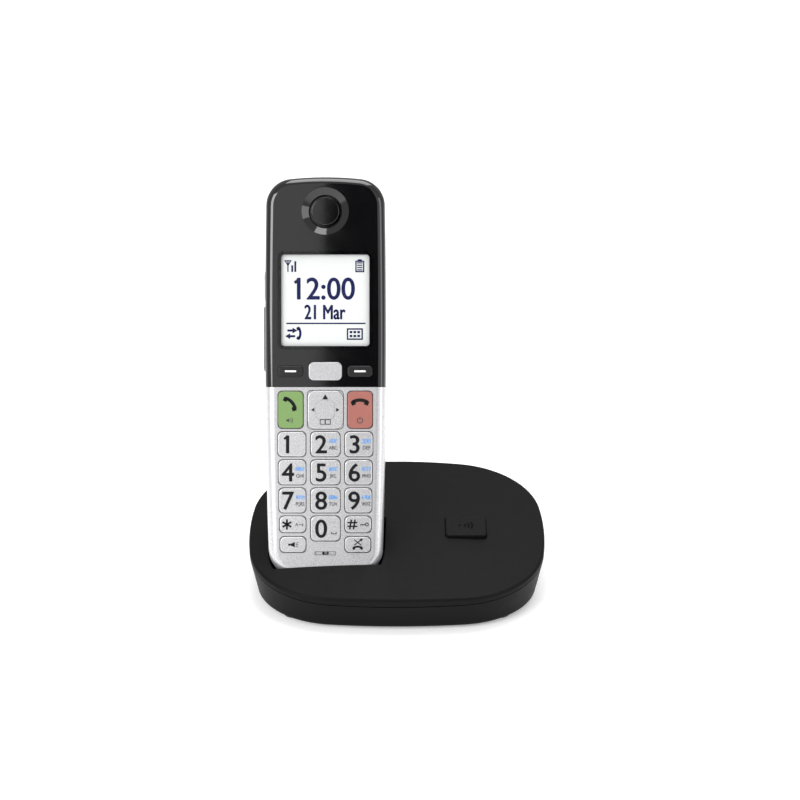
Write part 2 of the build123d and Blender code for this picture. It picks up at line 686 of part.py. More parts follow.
# The bay's walls, the ledge round it that carries the door, and the screws' bosses.
with BuildPart() as frame:
    block(0, bay_middle, behind, seam_depth - 3, door_width + 3, door_height + 3, DOOR_CORNER)
    add(handset_form(HANDSET_WALL + DOOR_SEAT + LEDGE_THICK), mode=Mode.SUBTRACT)
    block(
        0, bay_middle, behind, bay_floor + BAY_WALL, bay_width + 2 * BAY_WALL, bay_height + 2 * BAY_WALL
    )  # fmt: skip
    with BuildSketch(screw_plane.offset(behind)):
        with Locations(screw_places):
            Circle(BOSS_RADIUS)
    extrude(amount=seam_depth - SEAM_GAP - behind)
    add(lap, mode=Mode.INTERSECT)

with BuildPart() as door_hole:
    block(
        0, bay_middle, behind, seam_depth - 2,
        door_width + 2 * DOOR_PLAY, door_height + 2 * DOOR_PLAY, DOOR_CORNER + DOOR_PLAY,
    )  # fmt: skip
    add(seat, mode=Mode.SUBTRACT)

with BuildPart() as rear:
    add(outer)
    add(slab(behind, seam_depth - SEAM_GAP), mode=Mode.INTERSECT)
    add(inner, mode=Mode.SUBTRACT)
    add(lip.part)
    add(frame.part)
    add(door_hole.part, mode=Mode.SUBTRACT)
    block(0, bay_middle, behind, bay_floor, bay_width, bay_height, mode=Mode.SUBTRACT)
    # Slots for the loudspeaker.
    with BuildSketch(at(face, 0, SPEAKER_MIDDLE).offset(behind)):
        for index in range(SPEAKER_SLOTS):
            off = (index - (SPEAKER_SLOTS - 1) / 2) * SPEAKER_SLOT_PITCH
            reach = sqrt((SPEAKER_RADIUS - 1) ** 2 - off**2)
            with Locations((0, off)):
                SlotOverall(2 * reach, SPEAKER_SLOT_WIDTH)
    extrude(amount=seam_depth - 3 - behind, mode=Mode.SUBTRACT)
    # Counterbored holes for the screws.
    with BuildSketch(screw_plane.offset(behind)):
        with Locations(screw_places):
            Circle(SCREW_RADIUS + SCREW_PLAY)
    extrude(amount=-behind, mode=Mode.SUBTRACT)
    with BuildSketch(screw_plane.offset(behind)):
        with Locations(screw_places):
            Circle(SCREW_HEAD_RADIUS + 2 * SCREW_PLAY)
    extrude(amount=screw_seat - behind, mode=Mode.SUBTRACT)
    # Shallow seats for the charging plates, in the slanting foot.
    with BuildSketch(at(slant, 0, PLATE_UP_SLOPE).offset(1.0)):
        with Locations((-PLATE_X, 0), (PLATE_X, 0)):
            RectangleRounded(PLATE_WIDTH, PLATE_LENGTH, PLATE_CORNER)
    extrude(amount=-1.0 - PLATE_THICK, mode=Mode.SUBTRACT)
keep("handset_rear_cover", rear.part)

with BuildPart() as door:
    add(outer)
    block(0, bay_middle, behind, seam_depth - 2, door_width, door_height, DOOR_CORNER, Mode.INTERSECT)
    add(inner, mode=Mode.SUBTRACT)
keep("battery_door", door.part)

# ---------------------------------------------------------------- handset: screws, plates and cells
with BuildPart() as screws:
    with BuildSketch(screw_plane.offset(screw_seat - SCREW_HEAD)):
        with Locations(screw_places):
            Circle(SCREW_HEAD_RADIUS)
    extrude(amount=SCREW_HEAD)
    with BuildSketch(screw_plane.offset(screw_seat)):
        with Locations(screw_places):
            Circle(SCREW_RADIUS - SCREW_PLAY / 2)
    extrude(amount=SCREW_SEAT + 6.0)
    with BuildSketch(screw_plane.offset(screw_seat - SCREW_HEAD)):
        with Locations(screw_places):
            Rectangle(2.6, 0.6)
            Rectangle(0.6, 2.6)
    extrude(amount=SCREW_HEAD / 2, mode=Mode.SUBTRACT)
keep("handset_screws", screws.part)

with BuildPart() as plates:
    with BuildSketch(at(slant, 0, PLATE_UP_SLOPE).offset(-PLATE_THICK)):
        with Locations((-PLATE_X, 0), (PLATE_X, 0)):
            RectangleRounded(PLATE_WIDTH - 0.1, PLATE_LENGTH - 0.1, PLATE_CORNER)
    extrude(amount=PLATE_THICK)
keep("handset_charge_plates", plates.part)

# Two cells lie side by side, head to tail, between sprung and flat contacts.
cell_x = CELL_RADIUS + CELL_GAP / 2
for name, x, flip in (("cell_left", -cell_x, False), ("cell_right", cell_x, True)):
    foot = BAY_LOW + BAY_END_PLAY + (CELL_TIP if flip else 0)
    along = Plane(
        origin=face.from_local_coords(Vector(x, foot, cell_depth)), x_dir=face.x_dir, z_dir=face.y_dir
    )
    with BuildPart() as cell:
        with BuildSketch(along):
            Circle(CELL_RADIUS)
        extrude(amount=CELL_LENGTH)
        fillet(cell.edges().filter_by(GeomType.CIRCLE), CELL_EDGE)
        with BuildSketch(along.offset(-CELL_TIP if flip else CELL_LENGTH)):
            Circle(CELL_TIP_RADIUS)
        extrude(amount=CELL_TIP)
    keep(name, cell.part)

with BuildPart() as springs:
    for x, flip in ((-cell_x, False), (cell_x, True)):
        flat_y = bay_high - TERMINAL_THICK / 2 if not flip else BAY_LOW + TERMINAL_THICK / 2
        coil_y = BAY_LOW if not flip else bay_high
        block(x, flat_y, cell_depth - 3.4, cell_depth + 3.4, 7.4, TERMINAL_THICK)
        # The sprung end is a short cone of wire turns, closed into one stepped shape.
        turn = (BAY_END_PLAY - 0.1) / SPRING_TURNS
        for index in range(SPRING_TURNS):
            start = coil_y + (index * turn if not flip else -(index + 1) * turn)
            with BuildSketch(
                Plane(
                    origin=face.from_local_coords(Vector(x, start, cell_depth)),
                    x_dir=face.x_dir,
                    z_dir=face.y_dir,
                )
            ):
                Circle(SPRING_RADIUS - index * SPRING_STEP)
                Circle(SPRING_RADIUS - index * SPRING_STEP - 1.2, mode=Mode.SUBTRACT)
            extrude(amount=turn)
keep("cell_contacts", springs.part)

# ---------------------------------------------------------------- handset: keys
for name, x, y, width, height, corner in keys:
    with BuildPart() as key:
        with BuildSketch(at(face, x, y).offset(flange_top)):
            RectangleRounded(width, height, corner)
        extrude(amount=KEY_RISE - flange_top)
        top = key.faces().sort_by(Axis(face.origin, face.z_dir))[-1]
        fillet(top.edges(), KEY_CROWN)
        with BuildSketch(at(face, x, y).offset(flange_bottom)):
            RectangleRounded(width + 2 * KEY_FLANGE, height + 2 * KEY_FLANGE, corner + KEY_FLANGE)
        extrude(amount=KEY_FLANGE_THICK)
        with BuildSketch(at(face, x, y).offset(plunger_bottom)):
            Circle(PLUNGER_RADIUS)
        extrude(amount=PLUNGER_LENGTH)
    keep(name, key.part)

# The navigator rocks on a pivot that itself rocks the other way.
nav_flange_top = -HANDSET_WALL - NAVIGATOR_FLANGE_PLAY
pivot_top = nav_flange_top - KEY_FLANGE_THICK - PIVOT_GAP
with BuildPart() as navigator:
    name, x, y, width, height, corner = navigator_key
    with BuildSketch(at(face, x, y).offset(nav_flange_top)):
        RectangleRounded(width, height, corner)
    extrude(amount=KEY_RISE - nav_flange_top)
    fillet(navigator.faces().sort_by(Axis(face.origin, face.z_dir))[-1].edges(), KEY_CROWN)
    # A ring-shaped groove marks the middle from the four directions.
    with BuildSketch(at(face, x, y).offset(KEY_RISE - NAVIGATOR_GROOVE)):
        RectangleRounded(NAVIGATOR_PAD + 0.8, NAVIGATOR_PAD + 0.8, NAVIGATOR_CORNER - 0.8)
        RectangleRounded(NAVIGATOR_PAD, NAVIGATOR_PAD, NAVIGATOR_CORNER - 1.2, mode=Mode.SUBTRACT)
    extrude(amount=1.0, mode=Mode.SUBTRACT)
    with BuildSketch(at(face, x, y).offset(nav_flange_top - KEY_FLANGE_THICK)):
        RectangleRounded(width + 2 * KEY_FLANGE, height + 2 * KEY_FLANGE, corner + KEY_FLANGE)
    extrude(amount=KEY_FLANGE_THICK)
keep("key_navigator", navigator.part)

with BuildPart() as pivot:
    block(0, CALL_ROW, pivot_top - PIVOT_THICK, pivot_top, PIVOT_SIZE, PIVOT_SIZE, 1.0)
keep("navigator_pivot", pivot.part)

# ---------------------------------------------------------------- handset: mat, board and what is on them
mat_low = LAST_ROW - LAST_HEIGHT / 2 - MAT_MARGIN
mat_high = SOFT_ROW + MIDDLE_HEIGHT / 2 + MAT_MARGIN
with BuildPart() as mat:
    block(0, (mat_low + mat_high) / 2, board_front, board_front + MAT_WEB, MAT_WIDTH, mat_high - mat_low, 3.0)
    ring_top = plunger_bottom + DOME_LAP
    for name, x, y, width, height, corner in keys:
        with BuildSketch(at(face, x, y).offset(board_front + MAT_WEB)):
            Circle(DOME_RADIUS)
            Circle(PLUNGER_RADIUS + DOME_PLAY, mode=Mode.SUBTRACT)
        extrude(amount=ring_top - board_front - MAT_WEB)
        with BuildSketch(at(face, x, y).offset(board_front + DOME_FLOOR)):
            Circle(PLUNGER_RADIUS + DOME_PLAY)
        extrude(amount=MAT_WEB, mode=Mode.SUBTRACT)
    # The mat is cut away round the navigator's pivot.
    block(0, CALL_ROW, board_front - 1, 0, PIVOT_SIZE + 3, PIVOT_SIZE + 3, 1.5, Mode.SUBTRACT)
keep("keypad_mat", mat.part)

with BuildPart() as board:
    block(0, (BOARD_LOW + BOARD_HIGH) / 2, board_back, board_front, BOARD_WIDTH, BOARD_HIGH - BOARD_LOW, 7.0)
    # A low post stands on the board under the navigator's pivot.
    with BuildSketch(at(face, 0, CALL_ROW).offset(board_front)):
        Circle(PIVOT_POST_RADIUS)
    extrude(amount=pivot_top - PIVOT_THICK - PIVOT_GAP - board_front)
    # A notch lets the headset's jack lie in the board's thickness.
    notch = JACK_BODY_LENGTH + JACK_NOTCH_PLAY
    block(
        -side_at(JACK_COVER_MIDDLE) + HANDSET_WALL + JACK_BODY_GAP + notch / 2, JACK_COVER_MIDDLE,
        board_back - 1, board_front + 1, notch, JACK_BODY_WIDTH + 2 * JACK_NOTCH_PLAY, 0, Mode.SUBTRACT,
    )  # fmt: skip
    # Shielded radio and processor packages on the board's back.
    for x, y, width, height in ((0, 108, 22, 18), (-9, 28, 14, 12), (10, 27, 12, 9)):
        block(x, y, board_back - CHIP_THICK, board_back, width, height)
keep("handset_circuit_board", board.part)

with BuildPart() as glass:
    block(
        0, WINDOW_MIDDLE, -GLASS_THICK, 0,
        WINDOW_WIDTH + 2 * (GLASS_LAP - GLASS_PLAY), WINDOW_HEIGHT + 2 * (GLASS_LAP - GLASS_PLAY),
        WINDOW_CORNER + GLASS_LAP - GLASS_PLAY,
    )  # fmt: skip
keep("display_window", glass.part)

panel_top = -HANDSET_WALL - PANEL_GAP
with BuildPart() as panel:
    block(0, WINDOW_MIDDLE, panel_top - PANEL_THICK, panel_top, WINDOW_WIDTH + 3, WINDOW_HEIGHT + 4)
keep("display_panel", panel.part)
with BuildPart() as backlight:
    backlight_top = panel_top - PANEL_THICK
    backlight_low = backlight_top - BACKLIGHT_THICK
    block(0, WINDOW_MIDDLE, backlight_low, backlight_top, WINDOW_WIDTH + 3.4, WINDOW_HEIGHT + 6, 0.8)
    with BuildSketch(at(face, 0, WINDOW_MIDDLE).offset(board_front)):
        with GridLocations(WINDOW_WIDTH, WINDOW_HEIGHT, 2, 2):
            Circle(1.0)
    extrude(amount=backlight_low - board_front)
keep("display_backlight", backlight.part)

# The earpiece's cap stands on three legs over the receiver.
ear = at(face, 0, EAR_MIDDLE)
receiver_top = -EAR_RING_DEPTH - EAR_FOOT
with BuildPart() as ear_cap:
    with BuildSketch(ear.offset(-EAR_CAP_SUNK - EAR_CAP_THICK)):
        Circle(EAR_CAP_RADIUS)
    extrude(amount=EAR_CAP_THICK)
    fillet(ear_cap.edges().sort_by(Axis(face.origin, face.z_dir))[-1], 0.4)
    with BuildSketch(ear.offset(receiver_top)):
        with PolarLocations(EAR_CAP_RADIUS - 1.4, 3, 90):
            Circle(0.9)
    extrude(amount=-receiver_top - EAR_CAP_SUNK - EAR_CAP_THICK)
    with BuildSketch(ear.offset(receiver_top)):
        Circle(RECEIVER_RADIUS)
        Circle(EAR_CAP_RADIUS - 2.3, mode=Mode.SUBTRACT)
    extrude(amount=EAR_FOOT)
keep("earpiece_cap", ear_cap.part)

with BuildPart() as receiver:
    with BuildSketch(ear.offset(receiver_top - RECEIVER_THICK)):
        Circle(RECEIVER_RADIUS)
    extrude(amount=RECEIVER_THICK)
keep("earpiece_receiver", receiver.part)

with BuildPart() as boot:
    block(0, MIC_ROW, -HANDSET_WALL - MIC_THICK - 0.8, -HANDSET_WALL, 2 * MIC_RADIUS + 1.4, 2 * MIC_RADIUS + 0.4, 1.0)
    with BuildSketch(at(face, 0, MIC_ROW).offset(-HANDSET_WALL - MIC_THICK - 0.8)):
        Circle(MIC_RADIUS - 0.6)
    extrude(amount=MIC_THICK, mode=Mode.SUBTRACT)
    with BuildSketch(at(face, 0, MIC_ROW).offset(-HANDSET_WALL - 1.2)):
        Circle(MIC_HOLE_HEIGHT / 2)
    extrude(amount=2.0, mode=Mode.SUBTRACT)
keep("microphone_boot", boot.part)
with BuildPart() as microphone:
    with BuildSketch(at(face, 0, MIC_ROW).offset(-HANDSET_WALL - MIC_THICK - 0.8)):
        Circle(MIC_RADIUS - 0.6)
    extrude(amount=MIC_THICK)
keep("microphone", microphone.part)

speaker_back = -HANDSET_TOP_DEPTH - BACK_RISE + HANDSET_WALL + SPEAKER_GAP
with BuildPart() as speaker:
    with BuildSketch(at(face, 0, SPEAKER_MIDDLE).offset(speaker_back)):
        Circle(SPEAKER_RADIUS)
    extrude(amount=SPEAKER_THICK)
    with BuildSketch(at(face, 0, SPEAKER_MIDDLE).offset(speaker_back + SPEAKER_THICK)):
        Circle(SPEAKER_NECK)
    extrude(amount=board_back - speaker_back - SPEAKER_THICK)
    fillet(speaker.edges().sort_by(Axis(face.origin, face.z_dir))[0], 0.8)
keep("loudspeaker", speaker.part)

# ---------------------------------------------------------------- handset: the left flank
def flank_plane(middle, out):
    """A plane on the left flank, x up the handset and z out of its side."""
    return Plane(
        origin=face.from_local_coords(Vector(-side_at(middle) - out, middle, -SIDE_KEY_DEPTH)),
        x_dir=face.y_dir,
        z_dir=-face.x_dir,
    )


rocker_play = ROCKER_LENGTH / 2 * sin(radians(ROCKER_TILT)) + SIDE_PLAY
with BuildPart() as rocker:
    with BuildSketch(flank_plane(ROCKER_MIDDLE, -HANDSET_WALL - rocker_play)):
        SlotOverall(ROCKER_LENGTH, SIDE_KEY_WIDTH)
    extrude(amount=HANDSET_WALL + rocker_play + SIDE_KEY_RISE)
    fillet(rocker.faces().sort_by(Axis.X)[0].edges(), KEY_CROWN)
    with BuildSketch(flank_plane(ROCKER_MIDDLE, -HANDSET_WALL - rocker_play)):
        SlotOverall(ROCKER_LENGTH + 1.6, SIDE_KEY_WIDTH + 1.2)
    extrude(amount=-0.9)
keep("volume_rocker", rocker.part)

# The headset jack's cover turns on a round knuckle at its lower end.
with BuildPart() as jack_cover:
    with BuildSketch(flank_plane(JACK_COVER_MIDDLE, -JACK_COVER_THICK)):
        SlotOverall(JACK_COVER_LENGTH, SIDE_KEY_WIDTH)
    extrude(amount=JACK_COVER_THICK + JACK_COVER_RISE)
    fillet(jack_cover.faces().sort_by(Axis.X)[0].edges(), KEY_CROWN)
keep("headset_jack_cover", jack_cover.part)

with BuildPart() as jack:
    with BuildSketch(flank_plane(JACK_COVER_MIDDLE, -HANDSET_WALL - JACK_BODY_GAP)):
        Rectangle(JACK_BODY_WIDTH, JACK_BODY_HEIGHT)
        Circle(JACK_RADIUS, mode=Mode.SUBTRACT)
    extrude(amount=-JACK_BODY_LENGTH)
keep("headset_jack", jack.part)

# ---------------------------------------------------------------- base: covers
cavity = handset_form(-POCKET_PLAY, -POCKET_SIDE_PLAY, rounded=False)
pocket_wall = handset_form(-POCKET_PLAY - POCKET_WALL, -POCKET_SIDE_PLAY - POCKET_WALL, rounded=False)
underside = CROWN_HEIGHT - BASE_WALL
board_top = BASE_BOARD_Z + BOARD_THICK

# The posts that the screws pull on hang from the top cover's crown, inside its skirt.
with BuildPart() as posts:
    with BuildSketch(Plane.XY.offset(BASE_BOSS_TOP)):
        with Locations(BASE_SCREWS):
            Circle(BASE_BOSS_RADIUS)
    extrude(amount=2 * SEAM_HEIGHT)
    add(crown_form(BASE_WALL / 2, BASE_BOSS_TOP - SEAM_HEIGHT - BASE_DEPTH / 2), mode=Mode.INTERSECT)

with BuildPart() as skirt_tongue:
    extrude(base_outline(BASE_WALL / 2 + TONGUE_PLAY, seam.offset(-BASE_TONGUE)), amount=BASE_TONGUE + 1.0)
    extrude(
        base_outline(BASE_WALL, seam.offset(-BASE_TONGUE)), amount=BASE_TONGUE + 1.0, mode=Mode.SUBTRACT
    )

with BuildPart() as pocket:
    add(pocket_wall)
    add(crown_form(BASE_WALL / 2, BASE_BOSS_TOP - SEAM_HEIGHT - BASE_DEPTH / 2), mode=Mode.INTERSECT)

with BuildPart() as top_cover:
    add(crown_form(0, BASE_SEAM_GAP / 2))
    rim = top_cover.faces().sort_by(Axis(seam.origin, seam.z_dir))[-1]
    fillet(rim.edges(), RIM_RADIUS)
    add(crown_form(BASE_WALL, -1.0), mode=Mode.SUBTRACT)
    add(skirt_tongue.part)
    add(posts.part)
    add(pocket.part)
    add(cavity, mode=Mode.SUBTRACT)
    # The locator button's hole.
    with BuildSketch(at(seam, LOCATOR_X, LOCATOR_Y)):
        RectangleRounded(
            LOCATOR_WIDTH + 2 * LOCATOR_PLAY, LOCATOR_DEPTH + 2 * LOCATOR_PLAY, LOCATOR_CORNER + LOCATOR_PLAY
        )
    extrude(amount=2 * CROWN_HEIGHT, mode=Mode.SUBTRACT)
    # Blind holes for the screws.
    with BuildSketch(Plane.XY.offset(BASE_BOSS_TOP - 1)):
        with Locations(BASE_SCREWS):
            Circle(SCREW_RADIUS)
    extrude(amount=BASE_SCREW_BITE + 2, mode=Mode.SUBTRACT)
    # Slots under the handset's charging plates, for the sprung contacts, and guides round them.
    with BuildSketch(at(slant, 0, PLATE_UP_SLOPE)):
        with Locations((-PLATE_X, 0), (PLATE_X, 0)):
            Rectangle(CONTACT_THICK + 2 * CONTACT_PLAY, CONTACT_WIDTH + 2 * CONTACT_PLAY)
    extrude(amount=POCKET_PLAY + POCKET_WALL + 2, mode=Mode.SUBTRACT)
keep("base_top_cover", top_cover.part)

jack_z = board_top + JACK_STAND
line_middle = (LINE_JACK_X, jack_z + LINE_JACK_HEIGHT / 2)
power_middle = (POWER_JACK_X, jack_z + POWER_JACK_HEIGHT / 2)
rear_wall = Plane(origin=(0, JACK_FACE_Y, 0), x_dir=(-1, 0, 0), z_dir=(0, 1, 0))

with BuildPart() as bottom_cover:
    add(lower_form(0, FOOT_HEIGHT))
    fillet(bottom_cover.faces().sort_by(Axis.Z)[0].edges(), BOTTOM_EDGE)
    # A thin gap is left at the seam.
    extrude(base_outline(-5, seam.offset(-BASE_SEAM_GAP / 2)), amount=5, mode=Mode.SUBTRACT)
    add(lower_form(BASE_WALL, FOOT_HEIGHT + BASE_WALL), mode=Mode.SUBTRACT)
    # The rim's inner half is cut back for the top cover's tongue.
    extrude(
        base_outline(BASE_WALL / 2, seam.offset(-BASE_TONGUE - BASE_SEAM_GAP)),
        amount=BASE_TONGUE + 3,
        mode=Mode.SUBTRACT,
    )
    # Posts meet the top cover's, and stand-offs carry the board.
    with BuildSketch(Plane.XY.offset(FOOT_HEIGHT + BASE_WALL / 2)):
        with Locations(BASE_SCREWS):
            Circle(BASE_BOSS_RADIUS)
    extrude(amount=BASE_BOSS_TOP - FOOT_HEIGHT - BASE_WALL / 2)
    with BuildSketch(Plane.XY.offset(FOOT_HEIGHT + BASE_WALL / 2)):
        with Locations(STANDOFFS):
            Circle(STANDOFF_RADIUS)
    extrude(amount=BASE_BOARD_Z - FOOT_HEIGHT - BASE_WALL / 2)
    # Pads for the feet, and the feet's pockets.
    foot_places = [(x, y) for x in (-FOOT_X, FOOT_X) for y in (FOOT_FRONT_Y, FOOT_BACK_Y)]
    with BuildSketch(Plane.XY.offset(FOOT_HEIGHT)):
        with Locations(foot_places):
            Circle(FOOT_RADIUS + FOOT_PLAY)
    extrude(amount=FOOT_SUNK, mode=Mode.SUBTRACT)
    # Screw holes from below.
    with BuildSketch(Plane.XY):
        with Locations(BASE_SCREWS):
            Circle(SCREW_RADIUS + SCREW_PLAY)
    extrude(amount=BASE_BOSS_TOP + 1, mode=Mode.SUBTRACT)
    with BuildSketch(Plane.XY):
        with Locations(BASE_SCREWS):
            Circle(SCREW_HEAD_RADIUS + 2 * SCREW_PLAY)
    extrude(amount=BASE_SCREW_SEAT, mode=Mode.SUBTRACT)
    # Openings in the rear wall for the two jacks.
    with BuildSketch(rear_wall):
        with Locations((-line_middle[0], line_middle[1])):
            Rectangle(LINE_JACK_WIDTH + 2 * JACK_PLAY, LINE_JACK_HEIGHT + 2 * JACK_PLAY)
        with Locations((-power_middle[0], power_middle[1])):
            Rectangle(POWER_JACK_WIDTH + 2 * JACK_PLAY, POWER_JACK_HEIGHT + 2 * JACK_PLAY)
    extrude(amount=BASE_WALL + 6, both=True, mode=Mode.SUBTRACT)
keep("base_bottom_cover", bottom_cover.part)

with BuildPart() as feet:
    with BuildSketch(Plane.XY):
        with Locations(foot_places):
            Circle(FOOT_RADIUS)
    extrude(amount=FOOT_HEIGHT + FOOT_SUNK)
    fillet(feet.edges().group_by(Axis.Z)[0], FOOT_EDGE)
keep("base_feet", feet.part)

with BuildPart() as base_screws:
    with BuildSketch(Plane.XY.offset(BASE_SCREW_SEAT - SCREW_HEAD)):
        with Locations(BASE_SCREWS):
            Circle(SCREW_HEAD_RADIUS)
    extrude(amount=SCREW_HEAD)
    with BuildSketch(Plane.XY.offset(BASE_SCREW_SEAT)):
        with Locations(BASE_SCREWS):
            Circle(SCREW_RADIUS - SCREW_PLAY / 2)
    extrude(amount=BASE_BOSS_TOP + BASE_SCREW_BITE - BASE_SCREW_SEAT)
    with BuildSketch(Plane.XY.offset(BASE_SCREW_SEAT - SCREW_HEAD)):
        with Locations(BASE_SCREWS):
            Rectangle(2.6, 0.6)
            Rectangle(0.6, 2.6)
    extrude(amount=SCREW_HEAD / 2, mode=Mode.SUBTRACT)
keep("base_screws", base_screws.part)

# ---------------------------------------------------------------- base: locator button and its switch
locator = at(seam, LOCATOR_X, LOCATOR_Y)
locator_top = CROWN_HEIGHT - (LOCATOR_X**2 + LOCATOR_Y**2) / (2 * CROWN_RADIUS) + LOCATOR_RISE
flange_level = underside - LOCATOR_SAG - LOCATOR_FLANGE_THICK
with BuildPart() as button:
    with BuildSketch(locator.offset(flange_level)):
        RectangleRounded(LOCATOR_WIDTH, LOCATOR_DEPTH, LOCATOR_CORNER)
    extrude(amount=locator_top - flange_level)
    fillet(button.faces().sort_by(Axis(locator.origin, locator.z_dir))[-1].edges(), LOCATOR_EDGE)
    with BuildSketch(locator.offset(flange_level)):
        RectangleRounded(
            LOCATOR_WIDTH + 2 * LOCATOR_FLANGE, LOCATOR_DEPTH + 2 * LOCATOR_FLANGE, LOCATOR_CORNER
        )
    extrude(amount=LOCATOR_FLANGE_THICK)
    with BuildSketch(locator.offset(flange_level - LOCATOR_STEM)):
        Circle(LOCATOR_STEM_RADIUS)
    extrude(amount=LOCATOR_STEM)
keep("locator_button", button.part)

stem_end = locator.from_local_coords(Vector(0, 0, flange_level - LOCATOR_STEM))
with BuildPart() as switch:
    with BuildSketch(Plane(origin=(stem_end.X, stem_end.Y, board_top))):
        Rectangle(SWITCH_SIZE, SWITCH_SIZE)
    extrude(amount=SWITCH_BODY)
    with BuildSketch(Plane(origin=(stem_end.X, stem_end.Y, board_top + SWITCH_BODY))):
        Circle(SWITCH_TIP_RADIUS)
    extrude(amount=stem_end.Z - board_top - SWITCH_BODY - LOCATOR_TRAVEL - LOCATOR_STEM_GAP)
keep("locator_switch", switch.part)

# ---------------------------------------------------------------- base: board, jacks and antenna
board_x = (BASE_BOARD_LOW_X + BASE_BOARD_HIGH_X) / 2
board_y = (BASE_BOARD_LOW_Y + BASE_BOARD_HIGH_Y) / 2
with BuildPart() as base_board:
    with BuildSketch(Plane(origin=(board_x, board_y, BASE_BOARD_Z))) as board_outline:
        Rectangle(BASE_BOARD_HIGH_X - BASE_BOARD_LOW_X, BASE_BOARD_HIGH_Y - BASE_BOARD_LOW_Y)
        chamfer(board_outline.vertices().group_by(Axis.X)[-1], BASE_BOARD_CORNER)
    extrude(amount=BOARD_THICK)
    for x, y, width, height, tall in BASE_CHIPS:
        with BuildSketch(Plane(origin=(x, y, board_top))):
            Rectangle(width, height)
        extrude(amount=tall)
keep("base_circuit_board", base_board.part)

with BuildPart() as antenna:
    with BuildSketch(Plane(origin=(ANTENNA_X, ANTENNA_Y, board_top), x_dir=(0, 1, 0), z_dir=(1, 0, 0))):
        with Locations((0, ANTENNA_HEIGHT / 2)):
            Rectangle(ANTENNA_LENGTH, ANTENNA_HEIGHT)
            with Locations((2, -1.2)):
                Rectangle(ANTENNA_LENGTH - 8, ANTENNA_HEIGHT - 3.4, mode=Mode.SUBTRACT)
    extrude(amount=ANTENNA_THICK)
keep("base_antenna", antenna.part)

# The telephone line's jack: a square socket with its sprung wires along its roof.
with BuildPart() as line_jack:
    with BuildSketch(rear_wall):
        with Locations((-line_middle[0], line_middle[1])):
            Rectangle(LINE_JACK_WIDTH, LINE_JACK_HEIGHT)
    extrude(amount=-LINE_JACK_LENGTH)
    with BuildSketch(rear_wall):
        with Locations((-line_middle[0], line_middle[1])):
            Rectangle(LINE_SOCKET_WIDTH, LINE_SOCKET_HEIGHT)
        with Locations((-line_middle[0], line_middle[1] - LINE_SOCKET_HEIGHT / 2)):
            Rectangle(LINE_LATCH_WIDTH, LINE_LATCH_DEPTH)
    extrude(amount=-LINE_SOCKET_LENGTH, mode=Mode.SUBTRACT)
    with BuildSketch(Plane(origin=(LINE_JACK_X, JACK_FACE_Y - LINE_JACK_LENGTH / 2 - 1, board_top))):
        Rectangle(LINE_JACK_WIDTH - 4, LINE_JACK_LENGTH - 4)
    extrude(amount=JACK_STAND)
keep("line_jack", line_jack.part)

wire_top = line_middle[1] + LINE_SOCKET_HEIGHT / 2
with BuildPart() as line_wires:
    for index in range(LINE_WIRES):
        x = LINE_JACK_X + (index - (LINE_WIRES - 1) / 2) * LINE_WIRE_PITCH
        with BuildSketch(Plane(origin=(x - LINE_WIRE / 2, JACK_FACE_Y, wire_top), x_dir=(0, 1, 0), z_dir=(1, 0, 0))):
            with BuildLine():
                Polyline(
                    (-2.0, 0),
                    (-LINE_SOCKET_LENGTH, -LINE_WIRE_DROP),
                    (-LINE_SOCKET_LENGTH, -LINE_WIRE_DROP + LINE_WIRE),
                    (-2.0 - LINE_WIRE, 0),
                    close=True,
                )
            make_face()
        extrude(amount=LINE_WIRE)
keep("line_jack_contacts", line_wires.part)

with BuildPart() as power_jack:
    with BuildSketch(rear_wall):
        with Locations((-power_middle[0], power_middle[1])):
            Rectangle(POWER_JACK_WIDTH, POWER_JACK_HEIGHT)
    extrude(amount=-POWER_JACK_LENGTH)
    with BuildSketch(rear_wall):
        with Locations((-power_middle[0], power_middle[1])):
            Circle(POWER_BORE_RADIUS)
    extrude(amount=-POWER_BORE_DEPTH, mode=Mode.SUBTRACT)
    with BuildSketch(Plane(origin=(POWER_JACK_X, JACK_FACE_Y - POWER_JACK_LENGTH / 2 - 1, board_top))):
        Rectangle(POWER_JACK_WIDTH - 3, POWER_JACK_LENGTH - 4)
    extrude(amount=JACK_STAND)
keep("power_jack", power_jack.part)
with BuildPart() as power_pin:
    with BuildSketch(rear_wall.offset(-POWER_BORE_DEPTH)):
        with Locations((-power_middle[0], power_middle[1])):
            Circle(POWER_PIN_RADIUS)
    extrude(amount=POWER_BORE_DEPTH - 1.0)
    fillet(power_pin.edges().sort_by(Axis.Y)[-1], 0.4)
keep("power_jack_pin", power_pin.part)

# ---------------------------------------------------------------- base: charging contacts
# Each contact slides square to the slanting foot, in a holder under the pocket's floor.
floor_under = POCKET_PLAY + POCKET_WALL
for name, x in (("charge_contact_left", PLATE_X), ("charge_contact_right", -PLATE_X)):
    with BuildPart() as contact:
        with BuildSketch(at(slant, x, PLATE_UP_SLOPE).offset(PLATE_STAND_OFF)):
            Rectangle(CONTACT_THICK, CONTACT_WIDTH)
        extrude(amount=CONTACT_LENGTH)
        nose = contact.faces().sort_by(Axis(slant.origin, slant.z_dir))[0]
        fillet(nose.edges().filter_by(Axis(slant.origin, slant.x_dir)), CONTACT_WIDTH * 0.4)
        with BuildSketch(at(slant, x, PLATE_UP_SLOPE).offset(floor_under + CONTACT_FLOAT)):
            Rectangle(CONTACT_THICK + 2 * CONTACT_FLANGE, CONTACT_WIDTH)
        extrude(amount=CONTACT_FLANGE_THICK)
    keep(name, contact.part)

